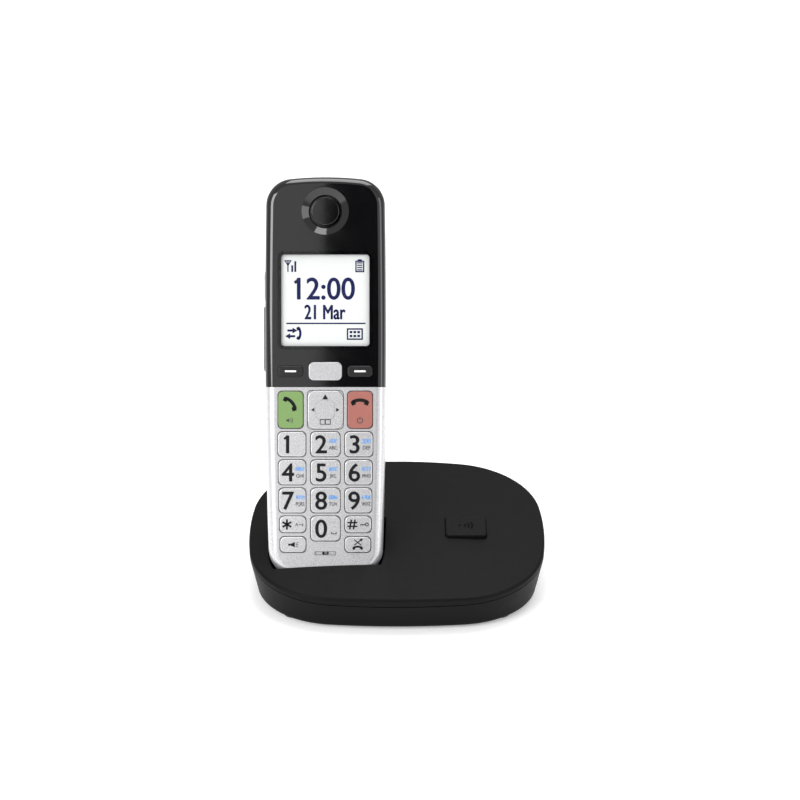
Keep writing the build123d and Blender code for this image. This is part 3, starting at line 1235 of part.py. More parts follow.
with BuildPart() as holder:
    for x in (-PLATE_X, PLATE_X):
        place = at(slant, x, PLATE_UP_SLOPE).offset(floor_under)
        with BuildSketch(place):
            Rectangle(HOLDER_WIDTH, HOLDER_LENGTH)
            Rectangle(
                CONTACT_THICK + 2 * (CONTACT_FLANGE + CONTACT_PLAY), CONTACT_WIDTH + 2 * CONTACT_PLAY,
                mode=Mode.SUBTRACT,
            )  # fmt: skip
        extrude(amount=HOLDER_DEPTH)
        with BuildSketch(place.offset(HOLDER_DEPTH)):
            Rectangle(HOLDER_WIDTH, HOLDER_LENGTH)
        extrude(amount=HOLDER_END_WALL)
    with BuildSketch(at(slant, 0, PLATE_UP_SLOPE).offset(floor_under)):
        Rectangle(2 * PLATE_X, HOLDER_BRIDGE)
    extrude(amount=1.0)
    for x in (-PLATE_X, PLATE_X):
        with BuildSketch(at(slant, x, PLATE_UP_SLOPE).offset(floor_under)):
            Rectangle(
                CONTACT_THICK + 2 * (CONTACT_FLANGE + CONTACT_PLAY), CONTACT_WIDTH + 2 * CONTACT_PLAY
            )
        extrude(amount=HOLDER_DEPTH, mode=Mode.SUBTRACT)
keep("contact_holder", holder.part)

# ---------------------------------------------------------------- files
os.makedirs("parts", exist_ok=True)
for name, part in parts.items():
    export_step(part, f"parts/{name}.step")
print(len(parts), "pieces")
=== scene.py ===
"""A cordless telephone in its charging base: its looks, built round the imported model."""

from __future__ import annotations

import json
import logging
import math
from dataclasses import dataclass, field
from enum import Enum
from typing import Callable, Sequence

import bmesh
import bpy
from mathutils import Matrix, Vector

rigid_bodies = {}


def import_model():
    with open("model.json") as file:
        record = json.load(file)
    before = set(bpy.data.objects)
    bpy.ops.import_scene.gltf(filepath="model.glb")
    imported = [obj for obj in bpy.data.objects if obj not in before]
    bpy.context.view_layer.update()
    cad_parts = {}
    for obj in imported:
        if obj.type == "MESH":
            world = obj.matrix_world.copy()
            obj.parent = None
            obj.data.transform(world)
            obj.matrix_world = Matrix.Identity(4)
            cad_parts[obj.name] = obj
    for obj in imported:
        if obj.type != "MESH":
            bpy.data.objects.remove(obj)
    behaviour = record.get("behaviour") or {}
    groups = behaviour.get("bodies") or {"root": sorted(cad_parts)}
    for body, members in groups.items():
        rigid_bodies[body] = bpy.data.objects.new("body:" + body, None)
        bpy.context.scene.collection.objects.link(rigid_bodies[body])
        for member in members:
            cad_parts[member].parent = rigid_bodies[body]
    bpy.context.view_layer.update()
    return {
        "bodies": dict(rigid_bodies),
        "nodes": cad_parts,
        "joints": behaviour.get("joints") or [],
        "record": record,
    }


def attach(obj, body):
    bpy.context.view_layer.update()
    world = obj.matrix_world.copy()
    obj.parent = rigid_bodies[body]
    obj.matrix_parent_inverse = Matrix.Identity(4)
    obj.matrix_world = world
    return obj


log = logging.getLogger("phone")
MM = 0.001
Colour = tuple[float, float, float]
Sheet = bmesh.types.BMesh
Material = bpy.types.Material


# ---------------------------------------------------------------- shader graph
class Signal:
    """A shader socket that takes part in ordinary arithmetic."""

    def __init__(self, graph: "Graph", socket: bpy.types.NodeSocket) -> None:
        """Wraps one output socket of a graph."""
        self.graph = graph
        self.socket = socket

    def _math(self, operation: str, *values: "Signal | float") -> "Signal":
        """Adds a Math node on the values given."""
        sockets = dict(enumerate(values))
        node = self.graph.add("ShaderNodeMath", {"operation": operation}, sockets)
        return Signal(self.graph, node.outputs[0])

    def __add__(self, other: "Signal | float") -> "Signal":
        """self + other."""
        return self._math("ADD", self, other)

    __radd__ = __add__

    def __sub__(self, other: "Signal | float") -> "Signal":
        """self - other."""
        return self._math("SUBTRACT", self, other)

    def __rsub__(self, other: "Signal | float") -> "Signal":
        """other - self."""
        return self._math("SUBTRACT", other, self)

    def __mul__(self, other: "Signal | float") -> "Signal":
        """self * other."""
        return self._math("MULTIPLY", self, other)

    __rmul__ = __mul__

    def __pow__(self, other: "Signal | float") -> "Signal":
        """self raised to other."""
        return self._math("POWER", self, other)

    def over(self, level: float) -> "Signal":
        """One where the signal is above a level, and nought elsewhere."""
        return self._math("GREATER_THAN", self, level)

    def clipped(self) -> "Signal":
        """The signal held between nought and one."""
        node = self.graph.add("ShaderNodeClamp", {}, {"Value": self})
        return Signal(self.graph, node.outputs[0])


class Graph:
    """The node tree of one material."""

    def __init__(self, name: str) -> None:
        """Starts an empty material of that name."""
        self.material = bpy.data.materials.new(name)
        self.material.use_nodes = True
        self.tree = self.material.node_tree
        self.tree.nodes.clear()

    def add(
        self, kind: str, settings: dict[str, object], sockets: dict[object, object]
    ) -> bpy.types.Node:
        """Adds a node.

        Args:
            kind: the node's type.
            settings: its own settings, set before its sockets. "stops" fills a colour ramp.
            sockets: values or signals for its inputs, by name or index.

        Returns:
            The node.
        """
        node = self.tree.nodes.new(kind)
        for key, value in settings.items():
            if key == "stops":
                ramp = node.color_ramp
                while len(ramp.elements) < len(value):
                    ramp.elements.new(0.5)
                for element, (place, shade) in zip(ramp.elements, value):
                    element.position = place
                    element.color = (*shade, 1.0)
            else:
                setattr(node, key, value)
        for key, value in sockets.items():
            if isinstance(value, Signal):
                self.tree.links.new(value.socket, node.inputs[key])
            else:
                node.inputs[key].default_value = value
        return node

    def place(self) -> Signal:
        """The point on the piece, in metres."""
        return Signal(self, self.add("ShaderNodeTexCoord", {}, {}).outputs["Object"])

    def stretched(self, scale: tuple[float, float, float]) -> Signal:
        """The point on the piece, stretched along the axes."""
        node = self.add("ShaderNodeMapping", {}, {"Vector": self.place(), "Scale": scale})
        return Signal(self, node.outputs[0])

    def along(self, axis: Vector, middle: Vector) -> Signal:
        """How far a point lies from a middle, along an axis."""
        settings = {"operation": "SUBTRACT"}
        moved = self.add("ShaderNodeVectorMath", settings, {0: self.place(), 1: tuple(middle)})
        sockets = {0: Signal(self, moved.outputs[0]), 1: tuple(axis)}
        dot = self.add("ShaderNodeVectorMath", {"operation": "DOT_PRODUCT"}, sockets)
        return Signal(self, dot.outputs["Value"])

    def noise(
        self, size: float, detail: float = 3.0, roughness: float = 0.5, where: Signal | None = None
    ) -> Signal:
        """Cloudy noise whose features are about that size in metres."""
        sockets = {
            "Vector": where or self.place(),
            "Scale": 1.0 / size,
            "Detail": detail,
            "Roughness": roughness,
        }
        return Signal(self, self.add("ShaderNodeTexNoise", {}, sockets).outputs["Fac"])

    def cells(self, size: float, feature: str = "F1", output: str = "Distance") -> Signal:
        """Voronoi cells about that size in metres."""
        sockets = {"Vector": self.place(), "Scale": 1.0 / size}
        node = self.add("ShaderNodeTexVoronoi", {"feature": feature}, sockets)
        return Signal(self, node.outputs[output])

    def mix(self, factor: Signal | float, low: Signal | Colour, high: Signal | Colour) -> Signal:
        """A colour between two others."""
        ends = [end if isinstance(end, Signal) else (*end, 1.0) for end in (low, high)]
        sockets = {0: factor, 6: ends[0], 7: ends[1]}
        node = self.add("ShaderNodeMix", {"data_type": "RGBA"}, sockets)
        return Signal(self, node.outputs[2])

    def bump(self, height: Signal, depth: float) -> Signal:
        """A bumped normal for a height of one at that depth in metres."""
        sockets = {"Height": height, "Distance": depth, "Strength": 1.0}
        return Signal(self, self.add("ShaderNodeBump", {}, sockets).outputs["Normal"])

    def shade(self, **sockets: object) -> Material:
        """Finishes the material with a shader; an underscore in a socket's name is a space."""
        named = {key.replace("_", " "): value for key, value in sockets.items()}
        shader = self.add("ShaderNodeBsdfPrincipled", {}, named)
        output = self.add("ShaderNodeOutputMaterial", {}, {})
        self.tree.links.new(shader.outputs[0], output.inputs[0])
        return self.material


# ---------------------------------------------------------------- finishes
def tinted(colour: Colour, factor: float, plus: float = 0.0) -> Colour:
    """A colour made lighter or darker, held at white."""
    return tuple(min(1.0, channel * factor + plus) for channel in colour)


@dataclass(frozen=True)
class GrainedPlastic:
    """Moulded plastic with a fine spark-eroded grain, slightly polished where it is handled."""

    name: str
    colour: Colour
    roughness: float = 0.5
    grain: float = 0.22 * MM
    depth: float = 0.012 * MM
    variation: float = 0.12

    def material(self) -> Material:
        """Builds the material."""
        graph = Graph(self.name)
        fine = graph.noise(self.grain, 2.0, 0.6)
        broad = graph.noise(14 * MM, 3.0)
        handled = graph.noise(5 * MM, 4.0, 0.6)
        lighter = tinted(self.colour, 1 + 2 * self.variation)
        darker = tinted(self.colour, 1 - self.variation)
        colour = graph.mix((broad * 0.6 + fine * 0.4).clipped(), darker, lighter)
        rough = self.roughness + (handled - 0.5) * 0.10 + (fine - 0.5) * 0.08
        return graph.shade(
            Base_Color=colour,
            Roughness=rough,
            Specular_IOR_Level=0.09,
            Normal=graph.bump(fine, self.depth),
        )


@dataclass(frozen=True)
class PianoPlastic:
    """Glossy moulded plastic with hairline wipe marks and a trace of dust."""

    name: str
    colour: Colour
    roughness: float = 0.045
    coat: float = 0.35

    def material(self) -> Material:
        """Builds the material."""
        graph = Graph(self.name)
        wipes = graph.noise(1.6 * MM, 2.0, 0.6, graph.stretched((1.0, 9.0, 9.0)))
        smears = graph.noise(11 * MM, 3.0, 0.55)
        dust = graph.cells(1.9 * MM).over(0.96)
        lighter = tinted(self.colour, 1.5, 0.003)
        colour = graph.mix((dust * 0.35 + smears * 0.3).clipped(), self.colour, lighter)
        rough = self.roughness + (wipes - 0.5).clipped() * 0.10 + (smears - 0.45).clipped() * 0.12
        return graph.shade(
            Base_Color=colour,
            Roughness=rough,
            Coat_Weight=self.coat,
            Coat_Roughness=0.04,
            Normal=graph.bump(smears, 0.004 * MM),
        )


@dataclass(frozen=True)
class FlakePaint:
    """Silver paint: fine metal flakes under a thin satin lacquer."""

    name: str
    colour: Colour
    flake: float = 0.13 * MM
    metallic: float = 0.42
    roughness: float = 0.30

    def material(self) -> Material:
        """Builds the material."""
        graph = Graph(self.name)
        flakes = graph.cells(self.flake, output="Color")
        split = graph.add("ShaderNodeSeparateColor", {}, {0: flakes})
        bright = Signal(graph, split.outputs[0])
        broad = graph.noise(9 * MM, 3.0)
        peel = graph.noise(1.1 * MM, 2.0)
        darker = tinted(self.colour, 0.95)
        lighter = tinted(self.colour, 1.05)
        colour = graph.mix((bright * 0.7 + broad * 0.3).clipped(), darker, lighter)
        rough = self.roughness + (bright - 0.5) * 0.08 + (broad - 0.5) * 0.04
        return graph.shade(
            Base_Color=colour,
            Metallic=self.metallic,
            Roughness=rough,
            Coat_Weight=0.25,
            Coat_Roughness=0.18,
            Normal=graph.bump(peel + bright * 0.12, 0.0012 * MM),
        )


@dataclass(frozen=True)
class KeyPlastic:
    """A moulded key: satin, with a soft mottle and the finest grain."""

    name: str
    colour: Colour
    roughness: float = 0.34
    coat: float = 0.08

    def material(self) -> Material:
        """Builds the material."""
        graph = Graph(self.name)
        mottle = graph.noise(2.4 * MM, 3.0)
        fine = graph.noise(0.12 * MM, 2.0)
        darker = tinted(self.colour, 0.93)
        colour = graph.mix(mottle, darker, self.colour)
        rough = self.roughness + (mottle - 0.5) * 0.12
        return graph.shade(
            Base_Color=colour,
            Roughness=rough,
            Coat_Weight=self.coat,
            Coat_Roughness=0.25,
            Normal=graph.bump(fine, 0.004 * MM),
        )


@dataclass(frozen=True)
class Ink:
    """Printed ink, thinner and paler in small specks."""

    name: str
    colour: Colour
    roughness: float = 0.42
    specular: float = 0.06

    def material(self) -> Material:
        """Builds the material."""
        graph = Graph(self.name)
        specks = graph.noise(0.15 * MM, 2.0)
        paler = tinted(self.colour, 1.25, 0.01)
        colour = graph.mix(specks, self.colour, paler)
        return graph.shade(
            Base_Color=colour,
            Roughness=self.roughness + (specks - 0.5) * 0.1,
            Specular_IOR_Level=self.specular,
        )


@dataclass(frozen=True)
class SoftRubber:
    """Matte rubber or silicone with a dusty bloom."""

    name: str
    colour: Colour
    roughness: float = 0.75

    def material(self) -> Material:
        """Builds the material."""
        graph = Graph(self.name)
        bloom = graph.noise(3 * MM, 5.0, 0.65)
        fine = graph.noise(0.25 * MM, 2.0)
        paler = tinted(self.colour, 1.5, 0.01)
        colour = graph.mix((bloom * 0.8).clipped(), self.colour, paler)
        return graph.shade(
            Base_Color=colour,
            Roughness=self.roughness + (bloom - 0.5) * 0.15,
            Sheen_Weight=0.15,
            Normal=graph.bump(fine, 0.01 * MM),
        )


@dataclass(frozen=True)
class DrawnMetal:
    """Plated or bright metal with fine lines along one axis and a little tarnish."""

    name: str
    colour: Colour
    roughness: float = 0.25
    lines: tuple[float, float, float] = (1.0, 14.0, 14.0)

    def material(self) -> Material:
        """Builds the material."""
        graph = Graph(self.name)
        lines = graph.noise(1.2 * MM, 3.0, 0.6, graph.stretched(self.lines))
        tarnish = graph.noise(2.5 * MM, 4.0, 0.6)
        darker = tinted(self.colour, 0.72)
        colour = graph.mix((tarnish - 0.35).clipped() * 1.2, self.colour, darker)
        rough = self.roughness + (lines - 0.5) * 0.16 + (tarnish - 0.5) * 0.12
        return graph.shade(
            Base_Color=colour, Metallic=1.0, Roughness=rough, Normal=graph.bump(lines, 0.004 * MM)
        )


@dataclass(frozen=True)
class ClearWindow:
    """A clear moulded window with faint wipe marks."""

    name: str

    def material(self) -> Material:
        """Builds the material."""
        graph = Graph(self.name)
        smears = graph.noise(9 * MM, 3.0, 0.6)
        return graph.shade(
            Base_Color=(0.01, 0.01, 0.012, 1.0),
            Roughness=0.04 + (smears - 0.4).clipped() * 0.10,
            Alpha=0.05 + (smears - 0.5).clipped() * 0.03,
            Specular_IOR_Level=0.5,
        )


@dataclass(frozen=True)
class LitPanel:
    """A pale liquid crystal panel, lit from behind, with painted shade towards its edges."""

    name: str
    colour: Colour
    middle: Vector
    up: Vector
    half_width: float
    half_height: float
    glow: float = 0.32

    def material(self) -> Material:
        """Builds the material."""
        graph = Graph(self.name)
        across = graph.along(Vector((1, 0, 0)), self.middle)
        wide = (across * (1 / self.half_width)) ** 2.0
        tall = (graph.along(self.up, self.middle) * (1 / self.half_height)) ** 2.0
        edge = ((wide**9.0) + (tall**9.0)).clipped()
        dots = graph.cells(0.34 * MM)
        # painted shade: the panel's colour darkens towards its edges, as the recessed window frame
        # shades them
        edge_shaded_colour = tinted(self.colour, 0.62)
        colour = graph.mix((edge * 0.8 + dots * 0.05).clipped(), self.colour, edge_shaded_colour)
        return graph.shade(
            Base_Color=colour, Roughness=0.38, Emission_Color=colour, Emission_Strength=self.glow
        )


@dataclass(frozen=True)
class SolderMask:
    """A green circuit board with copper tracks that show through its lacquer."""

    name: str
    colour: Colour = (0.012, 0.10, 0.045)

    def material(self) -> Material:
        """Builds the material."""
        graph = Graph(self.name)
        tracks = graph.cells(2.6 * MM, "DISTANCE_TO_EDGE").over(0.08)
        weave = graph.noise(0.5 * MM, 2.0)
        lighter = tinted(self.colour, 2.1)
        colour = graph.mix((1 - tracks) * 0.8 + weave * 0.1, self.colour, lighter)
        relief = graph.bump(1 - tracks, 0.03 * MM)
        return graph.shade(Base_Color=colour, Roughness=0.3, Normal=relief)


@dataclass(frozen=True)
class CellSleeve:
    """A cell's shrunk sleeve: one colour with a pale band round one end, and its bare metal tip."""

    name: str
    middle: Vector
    up: Vector
    band_from: float = 13 * MM
    tip_from: float = 21.6 * MM
    colour: Colour = (0.02, 0.16, 0.07)
    band: Colour = (0.62, 0.62, 0.58)

    def material(self) -> Material:
        """Builds the material."""
        graph = Graph(self.name)
        along = graph.along(self.up, self.middle)
        banded = along.over(self.band_from)
        tip = along.over(self.tip_from)
        wrinkle = graph.noise(1.4 * MM, 3.0)
        colour = graph.mix(banded, self.colour, self.band)
        return graph.shade(
            Base_Color=graph.mix(tip, colour, (0.55, 0.55, 0.55)),
            Metallic=tip,
            Roughness=0.22 + wrinkle * 0.15,
            Normal=graph.bump(wrinkle, 0.02 * MM),
        )


# ---------------------------------------------------------------- places and meshes
class Face:
    """The handset's own axes: across, up along it and out of its face."""

    def __init__(self, frame: dict) -> None:
        """Reads the axes from the joints that move along them."""
        joints = {joint["name"]: joint for joint in frame["joints"]}
        self.across = Vector((1, 0, 0))
        self.up = Vector(joints["handset_lift"]["axis"]).normalized()
        self.out = -Vector(joints["key_1_press"]["axis"]).normalized()
        self.axes = Matrix((self.across, self.up, self.out)).transposed()
        self.nodes = frame["nodes"]

    def span(self, name: str, over: float = -1.0) -> tuple[Vector, Vector]:
        """The lowest and highest corners of a node along the handset's axes.

        Args:
            name: the node.
            over: only points that stand further out than this count.

        Returns:
            Both corners, as across, up and out.
        """
        points = [vertex.co for vertex in self.nodes[name].data.vertices]
        points = [point for point in points if point.dot(self.out) > over]
        axes = (self.across, self.up, self.out)
        lists = [[point.dot(axis) for point in points] for axis in axes]
        return Vector(map(min, lists)), Vector(map(max, lists))

    def middle(self, name: str) -> Vector:
        """The middle of a node's front, along the handset's axes."""
        low, high = self.span(name)
        return Vector(((low.x + high.x) / 2, (low.y + high.y) / 2, high.z))

    def matrix(self, x: float, y: float, z: float, turn: float = 0.0) -> Matrix:
        """Places a flat shape: its own X across, Y up and Z out, turned about Z."""
        origin = Matrix.Translation(self.axes @ Vector((x, y, z)))
        return origin @ self.axes.to_4x4() @ Matrix.Rotation(turn, 4, "Z")


Drawing = Callable[[Sheet], None]
CAPITAL = 0.69  # a capital's height, as a share of the font's size
PLAIN_STRIKE = ((0.0, 0.0),)
BOLD_STRIKES = ((-1, 0), (1, 0), (0, -0.8), (0, 0.8), (-0.7, 0.55), (0.7, -0.55))
STRIKE_STEP = 0.001 * MM  # so that the strikes of a bold letter don't lie in one plane


class Art:
    """Flat printed shapes, each drawn with bmesh operators on the plane Z = 0, in metres."""

    thickness: float = 0.02 * MM

    @staticmethod
    def plate(
        mesh: Sheet, x: float, y: float, width: float, height: float, turn: float = 0.0
    ) -> None:
        """Draws a rectangle by its middle and size."""
        place = Matrix.Translation((x, y, 0)) @ Matrix.Rotation(turn, 4, "Z")
        matrix = place @ Matrix.Diagonal((width, height, 1, 1))
        bmesh.ops.create_grid(mesh, x_segments=1, y_segments=1, size=0.5, matrix=matrix)

    @staticmethod
    def disc(
        mesh: Sheet, x: float, y: float, radius: float, sides: int = 24, turn: float = 0.0
    ) -> None:
        """Draws a disc, or with three sides an arrow's head that points along its turn."""
        matrix = Matrix.Translation((x, y, 0)) @ Matrix.Rotation(turn - math.pi / 2, 4, "Z")
        bmesh.ops.create_circle(
            mesh, cap_ends=True, segments=sides, radius=radius, matrix=matrix
        )

    @staticmethod
    def band(
        mesh: Sheet, x: float, y: float, inner: float, outer: float, start: float, sweep: float
    ) -> None:
        """Draws part of a ring, from a start angle through a sweep, both in radians."""
        first = Matrix.Rotation(start, 4, "Z")
        middle = Vector((x, y, 0))
        ends = [
            mesh.verts.new(first @ Vector((radius, 0, 0)) + middle) for radius in (inner, outer)
        ]
        edge = mesh.edges.new(ends)
        full = abs(abs(sweep) - 2 * math.pi) < 1e-6
        bmesh.ops.spin(
            mesh,
            geom=[edge, *ends],
            cent=(x, y, 0),
            axis=(0, 0, 1),
            angle=sweep,
            steps=max(6, int(abs(sweep) * 8)),
            use_merge=full,
        )

    @classmethod
    def frame(
        cls, mesh: Sheet, x: float, y: float, width: float, height: float, line: float
    ) -> None:
        """Draws a rectangle's outline, its line inside the size given."""
        for side in (-1, 1):
            cls.plate(mesh, x + side * (width - line) / 2, y, line, height)
            cls.plate(mesh, x, y + side * (height - line) / 2, width - 2 * line, line)

    @classmethod
    def receiver(cls, mesh: Sheet, x: float, y: float, width: float, turn: float) -> None:
        """Draws a telephone receiver lying on its hook, turned about its middle."""
        piece = bmesh.new()
        radius = width * 0.86
        half_line = width * 0.10
        sweep = 2 * math.asin(width * 0.5 / radius) * 0.86
        start = math.pi / 2 - sweep / 2
        cls.band(piece, 0, -radius, radius - half_line, radius + half_line, start, sweep)
        for side in (-1, 1):
            x_end, y_end = side * width * 0.39, -width * 0.17
            cls.plate(piece, x_end, y_end, width * 0.25, width * 0.26, -side * 0.42)
        cls.merge(piece, mesh, Matrix.Translation((x, y, 0)) @ Matrix.Rotation(turn, 4, "Z"))

    @staticmethod
    def merge(piece: Sheet, mesh: Sheet, matrix: Matrix) -> None:
        """Moves a small drawing into a larger one, placed by a matrix."""
        bmesh.ops.transform(piece, matrix=matrix, verts=piece.verts)
        holder = bpy.data.meshes.new("drawing")
        piece.to_mesh(holder)
        piece.free()
        mesh.from_mesh(holder)
        bpy.data.meshes.remove(holder)


class Stamp:
    """Printed marks that end up as one piece, each with its place and its ink."""

    def __init__(self, name: str, body: str) -> None:
        """Starts an empty set of marks on a body."""
        self.name = name
        self.body = body
        self.mesh = bmesh.new()
        self.inks: list[Material] = []

    def _take(self, source: Sheet, matrix: Matrix, ink: Material, thickness: float) -> None:
        """Gives a flat drawing its thickness, and adds it."""
        if ink not in self.inks:
            self.inks.append(ink)
        bmesh.ops.remove_doubles(source, verts=source.verts, dist=1e-7)
        for face in source.faces:
            if face.normal.z < 0:
                face.normal_flip()
        source.normal_update()
        flat = list(source.faces)
        grown = bmesh.ops.extrude_face_region(source, geom=flat)
        raised = [item for item in grown["geom"] if isinstance(item, bmesh.types.BMVert)]
        bmesh.ops.translate(source, verts=raised, vec=(0, 0, thickness))
        bmesh.ops.recalc_face_normals(source, faces=source.faces)
        for face in source.faces:
            face.material_index = self.inks.index(ink)
        Art.merge(source, self.mesh, matrix)

    def draw(
        self, drawing: Drawing, matrix: Matrix, ink: Material, thickness: float = Art.thickness
    ) -> None:
        """Adds a drawing."""
        source = bmesh.new()
        drawing(source)
        self._take(source, matrix, ink, thickness)

    def write(
        self,
        text: str,
        matrix: Matrix,
        height: float,
        ink: Material,
        width: float = 1.0,
        bold: float = 0.0,
        longest: float = 1.0,
    ) -> None:
        """Adds text.

        Args:
            text: what it says.
            matrix: the place of its middle.
            height: of a capital letter, in metres.
            ink: its material.
            width: how much wider or narrower than usual its letters are.
            bold: how far its strokes are spread to each side, in metres.
            longest: how long the text may be, in metres; longer text is narrowed to it.
        """
        curve = bpy.data.curves.new("text", "FONT")
        curve.body = text
        curve.size = height / CAPITAL
        curve.resolution_u = 6
        curve.fill_mode = "FRONT"
        holder = put("text", curve)
        bpy.context.view_layer.update()
        flat = bpy.data.meshes.new_from_object(holder)
        bpy.data.objects.remove(holder)
        source = bmesh.new()
        source.from_mesh(flat)
        bpy.data.meshes.remove(flat)
        xs = [vertex.co.x for vertex in source.verts]
        middle = Vector((-(min(xs) + max(xs)) / 2, -height / 2, 0))
        bmesh.ops.translate(source, verts=source.verts, vec=middle)
        narrowed = min(width, longest / (max(xs) - min(xs)))
        bmesh.ops.scale(source, verts=source.verts, vec=(narrowed, 1, 1))
        for index, (x, y) in enumerate(BOLD_STRIKES if bold else PLAIN_STRIKE):
            moved = Matrix.Translation((x * bold, y * bold, 0))
            self._take(source.copy(), matrix @ moved, ink, Art.thickness + index * STRIKE_STEP)
        source.free()

    def finish(self) -> None:
        """Makes the piece, which rides on the body."""
        piece = put_mesh(self.name, self.mesh, self.inks)
        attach(piece, self.body)
        faces = len(piece.data.polygons)
        log.info("piece %s on %s, %d faces", self.name, self.body, faces)


def put(name: str, data: bpy.types.ID) -> bpy.types.Object:
    """Puts a new object that shows some data into the scene."""
    shown = bpy.data.objects.new(name, data)
    bpy.context.scene.collection.objects.link(shown)
    return shown


def put_mesh(name: str, source: Sheet, materials: Sequence[Material]) -> bpy.types.Object:
    """Puts a finished bmesh into the scene, and frees it."""
    mesh = bpy.data.meshes.new(name)
    source.to_mesh(mesh)
    source.free()
    for material in materials:
        mesh.materials.append(material)
    return put(name, mesh)


def dress(frame: dict, finishes: dict[Material, Sequence[str]]) -> None:
    """Gives each CAD node its material."""
    for material, names in finishes.items():
        for name in names:
            node = frame["nodes"][name]
            node.data.materials.clear()
            node.data.materials.append(material)


# ---------------------------------------------------------------- keypad
class Letter(Enum):
    """A digit, and the upper and the lower word printed beside it."""

    TWO = ("2", "АБВГ", "ABC")
    THREE = ("3", "ДЕЖЗ", "DEF")
    FOUR = ("4", "ИЙКЛ", "GHI")
    FIVE = ("5", "МНОП", "JKL")
    SIX = ("6", "РСТУ", "MNO")
    SEVEN = ("7", "ФХЦЧ", "PQRS")
    EIGHT = ("8", "ШЩЪЫ", "TUV")
    NINE = ("9", "ЬЭЮЯ", "WXYZ")


@dataclass
class Keypad:
    """The keys' printed legends."""

    face: Face
    digit_height: float = 7.4 * MM
    digit_shift: float = -1.75 * MM
    word_shift: float = 3.3 * MM
    upper_word: float = 1.35 * MM
    lower_word: float = -1.45 * MM
    word_height: float = 1.5 * MM
    word_width: float = 3.5 * MM
    lift: float = 0.005 * MM
    black: Material = field(init=False)
    blue: Material = field(init=False)
    grey: Material = field(init=False)
    white: Material = field(init=False)

    def __post_init__(self) -> None:
        """Mixes the inks."""
        self.black = Ink("ink_black", (0.008, 0.008, 0.009)).material()
        self.blue = Ink("ink_blue", (0.09, 0.27, 0.60)).material()
        self.grey = Ink("ink_grey", (0.06, 0.06, 0.065)).material()
        self.white = Ink("ink_white", (0.85, 0.85, 0.85)).material()

    def at(self, key: str, x: float = 0.0, y: float = 0.0, turn: float = 0.0) -> Matrix:
        """A place on a key's top, from its middle."""
        middle = self.face.middle(key)
        return self.face.matrix(middle.x + x, middle.y + y, middle.z + self.lift, turn)

    def build(self) -> None:
        """Prints every key."""
        self.print_digits()
        self.print_star_and_hash()
        self.print_last_row()
        self.print_call_keys()
        self.print_navigator()
        self.print_soft_keys()

    def print_digits(self) -> None:
        """The large digits and the letters beside them."""
        words = {entry.value[0]: entry.value[1:] for entry in Letter}
        for digit in "1234567890":
            key = f"key_{digit}"
            stamp = Stamp(f"legend_{digit}", key)
            place = self.at(key, self.digit_shift)
            stamp.write(digit, place, self.digit_height, self.black, 1.0, 0.19 * MM)
            if digit == "1":
                stamp.draw(self.draw_flag, place, self.black)
            if digit in words:
                upper, lower = words[digit]
                high, longest = self.word_height, self.word_width
                above = self.at(key, self.word_shift, self.upper_word)
                below = self.at(key, self.word_shift, self.lower_word)
                stamp.write(upper, above, high, self.blue, 0.9, 0.07 * MM, longest)
                stamp.write(lower, below, high, self.grey, 0.9, 0.05 * MM, longest)
            if digit == "0":
                stamp.draw(self.draw_space, self.at(key, 3.6 * MM, -2.2 * MM), self.grey)
            stamp.finish()

    @staticmethod
    def draw_flag(mesh: Sheet) -> None:
        """The short stroke at the top of a one."""
        Art.plate(mesh, -0.72 * MM, 2.75 * MM, 1.9 * MM, 0.95 * MM, math.radians(38))

    @staticmethod
    def draw_space(mesh: Sheet) -> None:
        """An open box, for a space between words."""
        Art.plate(mesh, 0, 0, 2.3 * MM, 0.38 * MM)
        for side in (-1, 1):
            Art.plate(mesh, side * 0.96 * MM, 0.45 * MM, 0.38 * MM, 0.7 * MM)

    def print_star_and_hash(self) -> None:
        """The star with its small letters and the hash with its key sign."""
        star = Stamp("legend_star", "key_star")
        star.draw(self.draw_star, self.at("key_star", -2.4 * MM), self.black)
        for letter, x, y in (("A", 1.7, 0), ("a", 4.1, 0.1)):
            place = self.at("key_star", x * MM, y * MM)
            star.write(letter, place, 1.25 * MM, self.grey, 0.9, 0.06 * MM)
        star.draw(self.draw_small_arrow, self.at("key_star", 2.9 * MM), self.grey)
        star.finish()
        hash_stamp = Stamp("legend_hash", "key_hash")
        hash_stamp.draw(self.draw_hash, self.at("key_hash", -2.35 * MM), self.black)
        hash_stamp.draw(self.draw_lock_key, self.at("key_hash", 2.75 * MM), self.grey)
        hash_stamp.finish()

    @staticmethod
    def draw_star(mesh: Sheet) -> None:
        """Three crossed bars."""
        for turn in (90, 30, 150):
            Art.plate(mesh, 0, 0, 4.3 * MM, 0.8 * MM, math.radians(turn))

    @staticmethod
    def draw_small_arrow(mesh: Sheet) -> None:
        """A short arrow between two letters."""
        Art.plate(mesh, -0.1 * MM, 0, 0.7 * MM, 0.2 * MM)
        Art.disc(mesh, 0.3 * MM, 0, 0.38 * MM, 3)

    @staticmethod
    def draw_hash(mesh: Sheet) -> None:
        """Two slanting uprights across two level bars."""
        for side in (-1, 1):
            Art.plate(mesh, side * 0.78 * MM, 0, 0.68 * MM, 4.2 * MM, -0.17)
            Art.plate(mesh, 0, side * 0.76 * MM, 4.2 * MM, 0.62 * MM)

    @staticmethod
    def draw_lock_key(mesh: Sheet) -> None:
        """A key: a bit, a shank and a ring."""
        Art.band(mesh, 1.0 * MM, 0, 0.40 * MM, 0.85 * MM, 0, 2 * math.pi)
        Art.plate(mesh, -0.75 * MM, 0, 2.0 * MM, 0.42 * MM)
        for x in (-1.6, -0.95):
            Art.plate(mesh, x * MM, -0.38 * MM, 0.3 * MM, 0.55 * MM)

